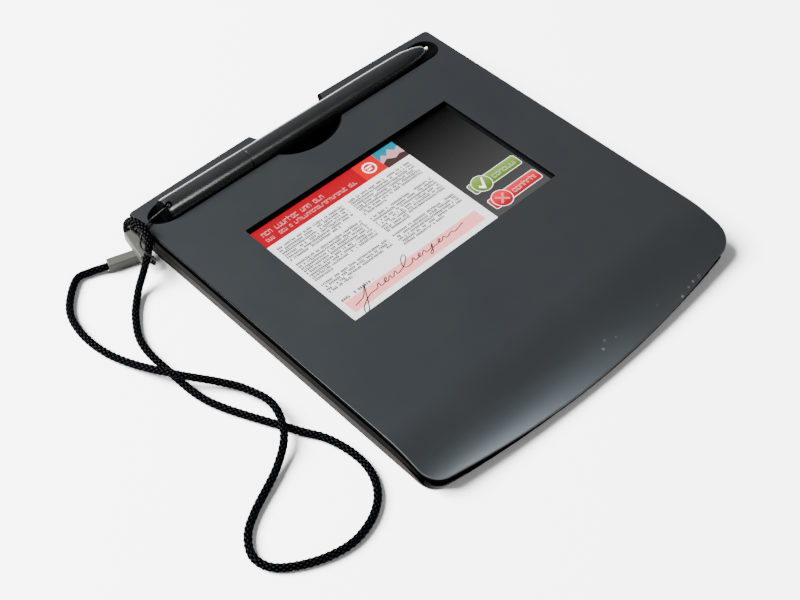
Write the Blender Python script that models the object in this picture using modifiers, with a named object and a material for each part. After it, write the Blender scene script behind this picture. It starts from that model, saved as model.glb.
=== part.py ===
"""A counter-top signature pad with its pen and braided tether, modelled piece by piece.

Metres. X runs to the right, Y to the back and Z up. The origin is on the table, under the centre of
the pad's box. The pad is three mouldings that stack up: a bottom case, a mid frame and a cover plate
whose front part bends down to the table. The cover carries a rounded trough for the pen, which lies
along the back edge, a finger scoop beside it and a notch that opens the trough to the back.
"""

import math

import bmesh
import bpy
from mathutils import Matrix, Vector

# Gaps between touching pieces, and how far a cutter runs past what it cuts
SEAT_GAP = 0.0003
OVERRUN = 0.002
WELD = 0.000001

# Plan of the pad: a box with a bowed front and a slightly bowed back
PAD_WIDTH = 0.1567
PAD_DEPTH = 0.1723
FRONT_SAGITTA = 0.0072
BACK_SAGITTA = 0.0014
FRONT_CORNER_RADIUS = 0.008
BACK_CORNER_RADIUS = 0.002
LEAST_CORNER_RADIUS = 0.0006
LOWER_INSET = 0.0009
NECK_INSET = 0.0024
ARC_STEPS = 14
CORNER_STEPS = 6

# The front part bends down along a parabola
BEND_LENGTH = 0.0299
BEND_DROP = 0.0093
BEND_STEPS = 9

# Heights that stack up from the table
FOOT_STANDOFF = 0.0006
CASE_FLOOR = 0.0018
CASE_HEIGHT = 0.0040
CASE_WALL = 0.0020
MID_BAND_HEIGHT = 0.0041
MID_WALL = 0.0025
DECK_THICKNESS = 0.0015
SHADOW_GAP = 0.0022
COVER_THICKNESS = 0.0016
COVER_EDGE_RADIUS = 0.0004

# Nose: the mid frame's solid front, which reaches down to the bottom of the case
NOSE_DEPTH = 0.0118

# Display window and the stack below it
WINDOW_FROM_SIDE = 0.02635
WINDOW_FROM_BACK = 0.03935
WINDOW_FROM_BEND = 0.04235
WINDOW_CORNER_RADIUS = 0.0010
WINDOW_CHAMFER = 0.0004
WINDOW_RECESS = 0.0019
GLASS_MARGIN = 0.0008
GLASS_THICKNESS = 0.0009
GASKET_WIDTH = 0.0030
PANEL_BORDER = 0.0025
PANEL_THICKNESS = 0.0012
BACKLIGHT_BORDER = 0.0020
BACKLIGHT_THICKNESS = 0.0014
SENSOR_BORDER = 0.0040
SENSOR_THICKNESS = 0.0008
SHIELD_THICKNESS = 0.0004
PANEL_CLEARANCE = 0.0005
RIB_THICKNESS = 0.0012
RIB_SHARES = (-0.33, 0.0, 0.33)

# Main board, its chips, connectors, ribbons and screws
BOARD_WIDTH = 0.1000
BOARD_DEPTH = 0.0320
BOARD_THICKNESS = 0.0010
BOARD_STANDOFF = 0.0016
BOARD_FROM_SENSOR = 0.0020
BOARD_CORNER_RADIUS = 0.0020
BOARD_SCREW_INSET = 0.0040
BOARD_SCREW_RADIUS = 0.0010
BOARD_SCREW_HEAD_RADIUS = 0.0019
BOARD_SCREW_HEAD = 0.0008
BOARD_BOSS_RADIUS = 0.0023
MAIN_CHIP_SIZE = 0.0140
MAIN_CHIP_HEIGHT = 0.0014
MEMORY_CHIP_WIDTH = 0.0180
MEMORY_CHIP_DEPTH = 0.0080
MEMORY_CHIP_HEIGHT = 0.0010
CHIP_SPREAD_SHARE = 0.26
CONNECTOR_WIDTH = 0.0240
CONNECTOR_DEPTH = 0.0040
CONNECTOR_HEIGHT = 0.0020
CONNECTOR_SPREAD_SHARE = 0.22
RIBBON_THICKNESS = 0.0002
RIBBON_BORDER = 0.0020
RIBBON_STEPS = 8

# Case screws, up through the case's bosses into the cover's posts
SCREW_FROM_SIDE = 0.01035
SCREW_FROM_BACK = 0.02845
SCREW_FROM_BEND = 0.0080
SCREW_MIDDLE_SHARE = 0.4476
SCREW_RADIUS = 0.00125
SCREW_HEAD_RADIUS = 0.0023
SCREW_HEAD_HEIGHT = 0.0016
SCREW_HEAD_SINK = 0.0003
SCREW_BITE = 0.0040
SCREW_DRIVE_RADIUS = 0.0009
SCREW_DRIVE_DEPTH = 0.0007
BOSS_RADIUS = 0.0036
POST_RADIUS = 0.0028
POST_CLEARANCE = 0.0004

# Rubber feet in shallow recesses
FOOT_RADIUS = 0.0060
FOOT_HEIGHT = 0.0016
FOOT_FROM_SIDE = 0.01835
FOOT_FROM_BACK = 0.01415
FOOT_FROM_FRONT = 0.02415
FOOT_CHAMFER = 0.0003

# Trough for the pen, finger scoop and back notch
PEN_FROM_BACK = 0.0105
TROUGH_CLEARANCE = 0.0003
TROUGH_LEFT_MARGIN = 0.00415
TROUGH_RIGHT_MARGIN = 0.00435
TROUGH_LEFT_END_SHARE = 1.7
TROUGH_RIGHT_END = 0.0060
TROUGH_WALL = 0.0012
TROUGH_STEPS = 28
TROUGH_END_STEPS = 6
SCOOP_HALF_WIDTH = 0.0178
SCOOP_HALF_DEPTH = 0.0125
SCOOP_ROUND_HEIGHT = 0.0090
SCOOP_FLOOR_DEPTH = 0.0054
NOTCH_BACK_HALF_WIDTH = 0.0178
NOTCH_FRONT_HALF_WIDTH = 0.0162
NOTCH_REACH = 0.0042
NOTCH_FLOOR_DEPTH = 0.0056

# Socket for the data lead, in the back wall below the notch
SOCKET_WIDTH = 0.0075
SOCKET_HEIGHT = 0.0025
SOCKET_LENGTH = 0.0056
SOCKET_SHELL = 0.0004
SOCKET_TONGUE = 0.0007
SOCKET_TONGUE_SETBACK = 0.0008
SOCKET_SETBACK = 0.0003

# Slot in the left side and the pin that anchors the tether
SLOT_WIDTH = 0.0070
SLOT_HEIGHT = 0.0028
SLOT_FROM_BACK = 0.01265
SLOT_ABOVE_BAND = 0.0005
PIN_RADIUS = 0.0008
PIN_FROM_SIDE = 0.00535
PIN_HEIGHT = 0.0052
PIN_BOSS_RADIUS = 0.0019
PIN_BOSS_HEIGHT = 0.0016

# Pen
PEN_RADIUS = 0.0050
PEN_WALL = 0.0012
PEN_STEPS = 24
PEN_TAIL_CLEARANCE = 0.0055
PEN_TIP_CLEARANCE = 0.0034
PEN_TAIL_SOLID = 0.0067
REAR_BARREL_SHARE = 0.2922
SPIGOT_LENGTH = 0.0080
SPIGOT_WALL = 0.0009
NIB_RADIUS = 0.00075
NIB_REACH = 0.0022
NIB_SHARE = 0.3058
NIB_TRAVEL = 0.0006
NIB_MOUTH_RIM = 0.00015
REAR_PROFILE_SHARES = ((0.0, 0.70), (0.006, 0.82), (0.03, 0.96), (0.075, 1.0), (0.7, 1.0), (1.0, 0.98))
FRONT_PROFILE_SHARES = (
    (0.029, 0.60),
    (0.055, 0.72),
    (0.082, 0.80),
    (0.0975, 0.85),
    (0.129, 0.90),
    (0.243, 0.95),
    (0.40, 0.97),
    (1.0, 0.98),
)

# Keyhole in the pen's tail for the thread
EYELET_RADIUS = 0.0014
EYELET_FROM_TAIL = 0.0024
EYELET_SLOT = 0.0013
EYELET_SLOT_DEPTH_SHARE = 0.75
EYELET_TILT = math.radians(23)
KNOT_RADIUS = 0.0010
KNOT_TAIL_REACH = 0.0018
KNOT_TAIL_HEIGHT = 0.0022

# Inside the pen: circuit board, pressure sensor, ferrite core and coil
SENSOR_CUP_LENGTH = 0.0054
SENSOR_CUP_CLEARANCE = 0.0004
PEN_BOARD_SHARE = 0.3015
PEN_BOARD_HALF_WIDTH = 0.0034
PEN_BOARD_THICKNESS = 0.0008
CORE_WALL = 0.00065
CORE_SHARE = 0.1579
CORE_FROM_SENSOR = 0.0056
COIL_WALL = 0.0012
COIL_SHARE = 0.1220
COIL_FROM_CORE_END = 0.0020
COIL_FLANGE = 0.0005

# Tether: braided cord, moulded sleeves, threads and a bead. These routes were chosen by hand, and
# their numbers put the pad's left back corner at ROUTE_CORNER_MM.
CORD_RADIUS = 0.0015
CORD_SPACING = 0.0068
CORD_TURN = math.radians(24)
THREAD_RADIUS = 0.0005
THREAD_SPACING = 0.0030
SLEEVE_SIDE = 0.0042
SLEEVE_EDGE = 0.0004
SLEEVE_LIFT = 0.0001
BEAD_RADIUS = 0.0011
END_KNOT_RADIUS = 0.0012
SPLINE_STEPS = 24
MM = 0.001
ROUTE_CORNER_MM = (-78.35, 86.15, 0.0)
CORD_ROUTE_MM = (
    (-94.65, 77.2, 2.2),
    (-96.6, 77.85, 2.15),
    (-101.2, 79.9, 1.7),
    (-107.4, 80.3, 1.6),
    (-116.9, 70.6, 1.6),
    (-120.4, 59.7, 1.6),
    (-120.0, 46.6, 1.6),
    (-116.2, 33.5, 2.3),
    (-108.9, 16.4, 5.3),
    (-99.8, 5.2, 3.4),
    (-94.7, -3.7, 3.1),
    (-92.9, -16.5, 5.0),
    (-97.6, -28.1, 4.6),
    (-107.5, -35.9, 2.4),
    (-123.2, -43.5, 1.6),
    (-130.8, -49.1, 1.6),
    (-134.4, -56.7, 1.6),
    (-131.2, -64.4, 1.6),
    (-120.1, -71.3, 1.6),
    (-107.7, -74.0, 1.6),
    (-96.0, -70.8, 1.6),
    (-88.3, -63.5, 1.6),
    (-85.2, -53.0, 1.6),
    (-87.2, -39.4, 1.6),
    (-93.8, -26.4, 1.6),
    (-106.2, 0.4, 1.6),
    (-108.4, 20.0, 1.6),
    (-108.0, 37.6, 1.6),
    (-102.4, 49.7, 1.6),
    (-94.4, 58.8, 2.5),
    (-88.2, 62.3, 7.1),
    (-82.3, 65.9, 12.4),
    (-80.1, 70.2, 15.7),
    (-79.9, 74.9, 16.1),
    (-80.2, 79.4, 14.5),
    (-80.8, 81.8, 11.7),
    (-81.4, 81.8, 9.6),
    (-81.91, 80.98, 8.63),
    (-82.15, 79.49, 8.45),
)
LOWER_SLEEVE_MM = ((-94.3, 77.1), (-81.6, 73.0))
UPPER_SLEEVE_MM = ((-82.19, 79.2, 8.42), (-84.3, 66.2, 6.9))
PEN_THREAD_MM = (
    (-70.8, 74.85, 14.7),
    (-73.4, 75.2, 13.9),
    (-77.2, 73.9, 13.75),
    (-80.2, 72.6, 12.9),
    (-83.0, 70.4, 12.2),
    (-84.9, 67.2, 12.5),
    (-85.4, 63.2, 13.2),
    (-84.0, 61.4, 11.2),
    (-83.2, 61.9, 8.8),
)
END_KNOT_MM = (-83.7, 62.7, 7.1)
ANCHOR_THREAD_MM = (
    (-81.3, 72.9, 2.2),
    (-80.6, 72.7, 2.7),
    (-79.7, 72.5, 4.2),
    (-78.5, 72.3, 6.0),
    (-76.4, 72.0, 6.7),
    (-74.2, 71.7, 6.7),
    (-72.0, 71.9, 6.7),
    (-71.3, 73.5, 6.7),
    (-72.0, 75.1, 6.7),
    (-74.4, 75.2, 6.7),
)
BEAD_MM = (-79.85, 77.9, 11.8)

# Levels and places that follow from the sizes above
CASE_BOTTOM = FOOT_STANDOFF
FLOOR_TOP = CASE_BOTTOM + CASE_FLOOR
FLOOR_MIDDLE = CASE_BOTTOM + CASE_FLOOR / 2
CASE_TOP = CASE_BOTTOM + CASE_HEIGHT
MID_BOTTOM = CASE_TOP + SEAT_GAP
MID_TOP = MID_BOTTOM + MID_BAND_HEIGHT
COVER_UNDER = MID_TOP + SHADOW_GAP
COVER_TOP = COVER_UNDER + COVER_THICKNESS
DECK_TOP = COVER_UNDER - SEAT_GAP
DECK_UNDER = DECK_TOP - DECK_THICKNESS
HALF_WIDTH = PAD_WIDTH / 2
Y_FRONT = -PAD_DEPTH / 2
Y_BACK = PAD_DEPTH / 2
Y_BEND = Y_FRONT + BEND_LENGTH
Y_NOSE = Y_FRONT + NOSE_DEPTH
WINDOW_WIDTH = PAD_WIDTH - 2 * WINDOW_FROM_SIDE
WINDOW_DEPTH = Y_BACK - WINDOW_FROM_BACK - Y_BEND - WINDOW_FROM_BEND
Y_WINDOW = Y_BACK - WINDOW_FROM_BACK - WINDOW_DEPTH / 2
GLASS_TOP = COVER_TOP - WINDOW_RECESS
GLASS_UNDER = GLASS_TOP - GLASS_THICKNESS
PANEL_TOP = GLASS_UNDER - SEAT_GAP
PANEL_UNDER = PANEL_TOP - PANEL_THICKNESS
BACKLIGHT_TOP = PANEL_UNDER - SEAT_GAP
BACKLIGHT_UNDER = BACKLIGHT_TOP - BACKLIGHT_THICKNESS
SENSOR_TOP = BACKLIGHT_UNDER - SEAT_GAP
SENSOR_UNDER = SENSOR_TOP - SENSOR_THICKNESS
SHIELD_TOP = SENSOR_UNDER - SEAT_GAP
SHIELD_UNDER = SHIELD_TOP - SHIELD_THICKNESS
BOARD_UNDER = FLOOR_TOP + BOARD_STANDOFF
BOARD_TOP = BOARD_UNDER + BOARD_THICKNESS
PARTS_UNDER = BOARD_TOP + SEAT_GAP
Y_SENSOR_FRONT = Y_WINDOW - WINDOW_DEPTH / 2 - SENSOR_BORDER
Y_BOARD_BACK = Y_SENSOR_FRONT - BOARD_FROM_SENSOR
Y_BOARD = Y_BOARD_BACK - BOARD_DEPTH / 2
Y_CONNECTOR = Y_BOARD_BACK - CONNECTOR_DEPTH
Y_PEN = Y_BACK - PEN_FROM_BACK
TROUGH_RADIUS = PEN_RADIUS + TROUGH_CLEARANCE
TROUGH_LEFT_END = TROUGH_LEFT_END_SHARE * PEN_TAIL_CLEARANCE
X_TROUGH_LEFT = -HALF_WIDTH + TROUGH_LEFT_MARGIN
X_TROUGH_RIGHT = HALF_WIDTH - TROUGH_RIGHT_MARGIN
Z_PEN = COVER_TOP
X_PEN_TAIL = X_TROUGH_LEFT + PEN_TAIL_CLEARANCE
X_PEN_TIP = X_TROUGH_RIGHT - PEN_TIP_CLEARANCE
X_MOUTH = X_PEN_TIP - NIB_REACH
PEN_LENGTH = X_PEN_TIP - X_PEN_TAIL
X_SEAM = X_PEN_TAIL + REAR_BARREL_SHARE * PEN_LENGTH
X_NIB_END = X_PEN_TIP - NIB_SHARE * PEN_LENGTH
PEN_BORE = PEN_RADIUS - PEN_WALL
X_PIN = -HALF_WIDTH + PIN_FROM_SIDE
Y_SLOT = Y_BACK - SLOT_FROM_BACK
ROUTE_START = Vector((-HALF_WIDTH, Y_BACK, 0)) - MM * Vector(ROUTE_CORNER_MM)


def clear_scene():
    for obj in list(bpy.data.objects):
        bpy.data.objects.remove(obj)
    for collection in list(bpy.data.collections):
        bpy.data.collections.remove(collection)


def new_collection(name):
    collection = bpy.data.collections.new(name)
    bpy.context.scene.collection.children.link(collection)
    return collection


clear_scene()
PARTS = new_collection("signature_pad")
CUTTERS = new_collection("cutters")


def put(name, data, collection):
    obj = bpy.data.objects.new(name, data)
    collection.objects.link(obj)
    return obj


def from_bmesh(name, shape, collection=PARTS):
    """Makes an object of a bmesh, with its faces turned out."""
    bmesh.ops.recalc_face_normals(shape, faces=shape.faces)
    mesh = bpy.data.meshes.new(name)
    shape.to_mesh(mesh)
    shape.free()
    return put(name, mesh, collection)


def as_cutter(obj):
    """Moves a shape to the cutters, out of renders."""
    for collection in list(obj.users_collection):
        collection.objects.unlink(obj)
    CUTTERS.objects.link(obj)
    obj.hide_render = True
    obj.display_type = "WIRE"
    return obj


def realise(obj):
    """Replaces an object's mesh or curve by its evaluated mesh, with loose ends welded."""
    graph = bpy.context.evaluated_depsgraph_get()
    mesh = bpy.data.meshes.new_from_object(obj.evaluated_get(graph))
    shape = bmesh.new()
    shape.from_mesh(mesh)
    bmesh.ops.remove_doubles(shape, verts=shape.verts, dist=WELD)
    bmesh.ops.recalc_face_normals(shape, faces=shape.faces)
    shape.to_mesh(mesh)
    shape.free()
    made = put(obj.name + "_mesh", mesh, PARTS)
    made.matrix_world = obj.matrix_world.copy()
    name = obj.name
    bpy.data.objects.remove(obj)
    made.name = name
    return made


def boolean(obj, other, operation):
    modifier = obj.modifiers.new(other.name, "BOOLEAN")
    modifier.operation = operation
    modifier.object = as_cutter(other)
    return obj


def cut(obj, *others):
    for other in others:
        boolean(obj, other, "DIFFERENCE")
    return obj


def join(obj, *others):
    for other in others:
        boolean(obj, other, "UNION")
    return obj


def keep_inside(obj, other):
    return boolean(obj, other, "INTERSECT")


def finish(obj, colour, roughness, metallic=0.0):
    """Gives a part its own material and smooth shading between its sharp edges."""
    material = bpy.data.materials.new(obj.name)
    material.use_nodes = True
    shader = material.node_tree.nodes["Principled BSDF"]
    shader.inputs["Base Color"].default_value = (*colour, 1.0)
    shader.inputs["Roughness"].default_value = roughness
    shader.inputs["Metallic"].default_value = metallic
    material.diffuse_color = (*colour, 1.0)
    obj.data.materials.clear()
    obj.data.materials.append(material)
    if obj.type == "MESH":
        obj.data.shade_smooth()
        obj.data.set_sharp_from_angle(angle=math.radians(30))
    return obj


def prism(name, points, bottom, top):
    """A flat outline, pulled up from bottom to top."""
    shape = bmesh.new()
    face = shape.faces.new([shape.verts.new((x, y, bottom)) for x, y in points])
    made = bmesh.ops.extrude_face_region(shape, geom=[face])
    lifted = [item for item in made["geom"] if isinstance(item, bmesh.types.BMVert)]
    bmesh.ops.translate(shape, vec=(0, 0, top - bottom), verts=lifted)
    return from_bmesh(name, shape)


def box(name, x_range, y_range, z_range):
    low, high = (Vector(ends) for ends in zip(x_range, y_range, z_range))
    shape = bmesh.new()
    bmesh.ops.create_cube(shape, size=1)
    bmesh.ops.transform(shape, matrix=Matrix.Diagonal((*(high - low), 1)), verts=shape.verts)
    bmesh.ops.translate(shape, vec=(low + high) / 2, verts=shape.verts)
    return from_bmesh(name, shape)


def around(middle, size):
    return middle - size / 2, middle + size / 2


def cylinder(name, x, y, radius, bottom, top, steps=20):
    shape = bmesh.new()
    bmesh.ops.create_cone(
        shape, cap_ends=True, segments=steps, radius1=radius, radius2=radius, depth=top - bottom
    )
    bmesh.ops.translate(shape, vec=(x, y, (top + bottom) / 2), verts=shape.verts)
    return from_bmesh(name, shape)


def ball(name, centre, radii, steps=12):
    shape = bmesh.new()
    bmesh.ops.create_uvsphere(shape, u_segments=steps, v_segments=steps // 2, radius=1)
    bmesh.ops.transform(shape, matrix=Matrix.Diagonal((*radii, 1)), verts=shape.verts)
    bmesh.ops.translate(shape, vec=centre, verts=shape.verts)
    return from_bmesh(name, shape)


def turned(name, profile, steps, closed=False):
    """Turns a profile of (place along the axis, radius) about Z."""
    mesh = bpy.data.meshes.new(name)
    edges = [(i, i + 1) for i in range(len(profile) - 1)]
    if closed:
        edges.append((len(profile) - 1, 0))
    mesh.from_pydata([(radius, 0, along) for along, radius in profile], edges, [])
    screw = put(name, mesh, PARTS).modifiers.new("turn", "SCREW")
    screw.steps = steps
    screw.render_steps = steps
    screw.use_merge_vertices = True
    screw.merge_threshold = WELD
    return realise(bpy.data.objects[name])


def lay_along_x(obj, y, z):
    """Lays a shape turned about Z along the X axis, at the given height and depth."""
    obj.data.transform(Matrix.Translation((0, y, z)) @ Matrix.Rotation(math.pi / 2, 4, "Y"))
    return obj


def arc(centre, radius, start, end, steps):
    angles = [start + (end - start) * i / steps for i in range(steps + 1)]
    return [(centre[0] + radius * math.cos(a), centre[1] + radius * math.sin(a)) for a in angles]


def rounded_rectangle(x_range, y_range, radius, steps=3):
    """Outline of a rectangle with rounded corners, counter-clockwise."""
    points = []
    corners = ((1, 0, -0.5), (1, 1, 0.0), (0, 1, 0.5), (0, 0, 1.0))
    for right, back, turn in corners:
        x = x_range[right] + radius * (1 - 2 * right)
        y = y_range[back] + radius * (1 - 2 * back)
        points += arc((x, y), radius, turn * math.pi, (turn + 0.5) * math.pi, steps)
    return points


def bow_radius(sagitta):
    return (HALF_WIDTH**2 + sagitta**2) / (2 * sagitta)


def outline(inset):
    """Plan outline of the pad, counter-clockwise from the front centre, moved in by inset.

    The bowed front and back are arcs about fixed centres, each joined to the straight sides by a
    rounded corner that touches both.
    """
    side = HALF_WIDTH - inset
    right = []
    ends = (
        (Y_FRONT, -1, bow_radius(FRONT_SAGITTA), FRONT_CORNER_RADIUS),
        (Y_BACK, 1, bow_radius(BACK_SAGITTA), BACK_CORNER_RADIUS),
    )
    for y_end, sign, bow, corner in ends:
        y_bow = y_end - sign * bow
        reach = bow - inset
        radius = max(corner - inset, LEAST_CORNER_RADIUS)
        x_corner = side - radius
        y_corner = y_bow + sign * math.sqrt((reach - radius) ** 2 - x_corner**2)
        lean = math.atan2(x_corner, sign * (y_corner - y_bow))
        middle = sign * math.pi / 2
        bowed = arc((0, y_bow), reach, middle, middle - sign * lean, ARC_STEPS // 2)
        rounded = arc((x_corner, y_corner), radius, middle - sign * lean, 0, CORNER_STEPS)
        right.append(bowed + rounded[1:])
    front, back = right
    half = front + back[::-1]
    return half + [(-x, y) for x, y in reversed(half[1:-1])]


def drop(y):
    """How far the bend lets the surface down at y."""
    return BEND_DROP * (max(Y_BEND - y, 0) / BEND_LENGTH) ** 2


def follow_bend(obj):
    """Slices a flat-topped shape across the bend and lets each slice down."""
    obj = realise(obj)
    shape = bmesh.new()
    shape.from_mesh(obj.data)
    bmesh.ops.triangulate(shape, faces=shape.faces)
    for step in range(BEND_STEPS):
        y = Y_BEND - BEND_LENGTH * step / BEND_STEPS
        whole = shape.verts[:] + shape.edges[:] + shape.faces[:]
        bmesh.ops.bisect_plane(shape, geom=whole, plane_co=(0, y, 0), plane_no=(0, 1, 0))
    for vert in shape.verts:
        vert.co.z -= drop(vert.co.y)
    shape.to_mesh(obj.data)
    shape.free()
    return obj


def screw_places():
    x = HALF_WIDTH - SCREW_FROM_SIDE
    back = Y_BACK - SCREW_FROM_BACK
    front = Y_BEND + SCREW_FROM_BEND
    rows = (back, back + SCREW_MIDDLE_SHARE * (front - back), front)
    return [(side * x, y) for y in rows for side in (-1, 1)]


def foot_places():
    x = HALF_WIDTH - FOOT_FROM_SIDE
    rows = (Y_FRONT + FOOT_FROM_FRONT, Y_BACK - FOOT_FROM_BACK)
    return [(side * x, y) for y in rows for side in (-1, 1)]


def window_range(border):
    half_width = WINDOW_WIDTH / 2 + border
    half_depth = WINDOW_DEPTH / 2 + border
    return (-half_width, half_width), (Y_WINDOW - half_depth, Y_WINDOW + half_depth)


def window_prism(name, border, radius, bottom, top):
    return prism(name, rounded_rectangle(*window_range(border), radius), bottom, top)


def trough(name, growth):
    """The pen's trough as a turned shape with elliptical ends, grown outwards by growth."""
    left = X_TROUGH_LEFT - growth
    right = X_TROUGH_RIGHT + growth
    radius = TROUGH_RADIUS + growth
    profile = []
    for i in range(TROUGH_END_STEPS + 1):
        angle = math.pi / 2 * i / TROUGH_END_STEPS
        along = left + TROUGH_LEFT_END * (1 - math.cos(angle))
        profile.append((along, radius * math.sin(angle)))
    for i in range(TROUGH_END_STEPS, -1, -1):
        angle = math.pi / 2 * i / TROUGH_END_STEPS
        along = right - TROUGH_RIGHT_END * (1 - math.cos(angle))
        profile.append((along, radius * math.sin(angle)))
    return lay_along_x(turned(name, profile, TROUGH_STEPS), Y_PEN, Z_PEN)


def scoop(name, growth):
    """The finger scoop: an ellipsoid below the cover's face, cut flat at its floor."""
    radii = [size + growth for size in (SCOOP_HALF_WIDTH, SCOOP_HALF_DEPTH, SCOOP_ROUND_HEIGHT)]
    shape = bmesh.new()
    bmesh.ops.create_uvsphere(shape, u_segments=28, v_segments=18, radius=1)
    bmesh.ops.transform(shape, matrix=Matrix.Diagonal((*radii, 1)), verts=shape.verts)
    bmesh.ops.translate(shape, vec=(0, Y_PEN, COVER_TOP), verts=shape.verts)
    whole = shape.verts[:] + shape.edges[:] + shape.faces[:]
    floor = (0, 0, COVER_TOP - SCOOP_FLOOR_DEPTH - growth)
    made = bmesh.ops.bisect_plane(shape, geom=whole, plane_co=floor, plane_no=(0, 0, -1), clear_outer=True)
    rim = [item for item in made["geom_cut"] if isinstance(item, bmesh.types.BMEdge)]
    bmesh.ops.edgenet_fill(shape, edges=rim)
    return from_bmesh(name, shape)


def notch(name, growth):
    """The notch in the back edge, widening towards the back, grown outwards by growth."""
    spread = (NOTCH_BACK_HALF_WIDTH - NOTCH_FRONT_HALF_WIDTH) / NOTCH_REACH
    y_end = Y_BACK + OVERRUN
    back = NOTCH_BACK_HALF_WIDTH + growth + spread * OVERRUN
    front = NOTCH_BACK_HALF_WIDTH + growth - spread * PEN_FROM_BACK
    points = ((-front, Y_PEN), (front, Y_PEN), (back, y_end), (-back, y_end))
    floor = COVER_TOP - NOTCH_FLOOR_DEPTH - growth
    return prism(name, points, floor, COVER_TOP + OVERRUN)


def pen_recess(name, growth):
    return [make(name + "_" + make.__name__, growth) for make in (trough, scoop, notch)]


def top_cover():
    """Cover plate with a rounded top edge, the window, the pen's trough shell and screw posts."""
    shape = bmesh.new()
    ring = [shape.verts.new((x, y, COVER_UNDER)) for x, y in outline(0)]
    made = bmesh.ops.extrude_face_region(shape, geom=[shape.faces.new(ring)])
    lifted = [item for item in made["geom"] if isinstance(item, bmesh.types.BMVert)]
    bmesh.ops.translate(shape, vec=(0, 0, COVER_THICKNESS), verts=lifted)
    rim = [edge for edge in shape.edges if all(vert in lifted for vert in edge.verts)]
    bmesh.ops.bevel(shape, geom=rim, offset=COVER_EDGE_RADIUS, segments=2, profile=0.5, affect="EDGES")
    cover = from_bmesh("top_cover", shape)
    for shell in pen_recess("shell", TROUGH_WALL):
        middle = COVER_UNDER + COVER_THICKNESS / 2
        below = prism("shell_limit", outline(LOWER_INSET), FLOOR_TOP, middle)
        join(cover, realise(keep_inside(shell, below)))
    for x, y in screw_places():
        post = cylinder("post", x, y, POST_RADIUS, MID_BOTTOM, COVER_UNDER + COVER_THICKNESS / 2)
        hole_top = MID_BOTTOM + SCREW_BITE + SEAT_GAP
        hole = cylinder("post_hole", x, y, SCREW_RADIUS + SEAT_GAP, MID_BOTTOM - OVERRUN, hole_top, 12)
        join(cover, post)
        cut(cover, hole)
    cut(cover, *pen_recess("recess", 0))
    bottom = COVER_UNDER - OVERRUN
    cut(cover, window_prism("window", 0, WINDOW_CORNER_RADIUS, bottom, COVER_TOP + OVERRUN))
    cut(cover, window_chamfer())
    return finish(follow_bend(cover), (0.055, 0.058, 0.068), 0.42)


def window_chamfer():
    """Cutter for the thin sloping edge round the window: a prism whose top is wider."""
    chamfer = window_prism("window_chamfer", 0, WINDOW_CORNER_RADIUS, COVER_TOP - WINDOW_CHAMFER, COVER_TOP)
    growth = [1 + 2 * WINDOW_CHAMFER / size for size in (WINDOW_WIDTH, WINDOW_DEPTH)]
    for vert in chamfer.data.vertices:
        if vert.co.z > COVER_TOP - WINDOW_CHAMFER / 2:
            vert.co.x *= growth[0]
            vert.co.y = Y_WINDOW + (vert.co.y - Y_WINDOW) * growth[1]
    return chamfer


def mid_frame():
    """Middle moulding: side band, set-back neck, deck round the display and solid nose."""
    low = CASE_BOTTOM - BEND_DROP
    frame = prism("mid_frame", outline(LOWER_INSET), low, MID_TOP)
    join(frame, prism("neck", outline(NECK_INSET), MID_TOP - DECK_THICKNESS, DECK_TOP))
    wide = (-PAD_WIDTH, PAD_WIDTH)
    cut(frame, box("under_band", wide, (Y_NOSE, PAD_DEPTH), (low - OVERRUN, MID_BOTTOM)))
    inner = outline(LOWER_INSET + MID_WALL)
    cavity = prism("cavity", inner, low - OVERRUN, DECK_UNDER)
    cut(frame, realise(keep_inside(cavity, box("behind_nose", wide, (Y_NOSE, PAD_DEPTH), (low, DECK_TOP)))))
    border = PANEL_BORDER + PANEL_CLEARANCE
    cut(frame, window_prism("display_opening", border, WINDOW_CORNER_RADIUS, low, COVER_TOP))
    cut(frame, *pen_recess("frame_recess", TROUGH_WALL + SEAT_GAP))
    for x, y in screw_places():
        cut(frame, cylinder("post_passage", x, y, POST_RADIUS + POST_CLEARANCE, MID_BOTTOM, COVER_TOP))
    cut(frame, tether_slot(), socket_passage())
    frame = follow_bend(frame)
    cut(frame, box("table_side", wide, wide, (low - BEND_DROP - OVERRUN, CASE_BOTTOM)))
    return finish(frame, (0.075, 0.072, 0.070), 0.5)


def tether_slot():
    y_range = around(Y_SLOT, SLOT_WIDTH)
    bottom = MID_BOTTOM + SLOT_ABOVE_BAND
    x_range = (-HALF_WIDTH - OVERRUN, -HALF_WIDTH + LOWER_INSET + MID_WALL + SEAT_GAP)
    return box("tether_slot", x_range, y_range, (bottom, bottom + SLOT_HEIGHT))


def socket_range(growth):
    """Room of the data socket, grown sideways and upwards by growth."""
    x_range = around(0, SOCKET_WIDTH + 2 * growth)
    y_end = Y_BACK - LOWER_INSET - SOCKET_SETBACK
    bottom = FLOOR_TOP + SEAT_GAP
    return x_range, (y_end - SOCKET_LENGTH, y_end), (bottom - growth, bottom + SOCKET_HEIGHT + growth)


def socket_passage():
    x_range, y_range, z_range = socket_range(SEAT_GAP)
    return box("socket_passage", x_range, (y_range[0], Y_BACK + OVERRUN), z_range)


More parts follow.
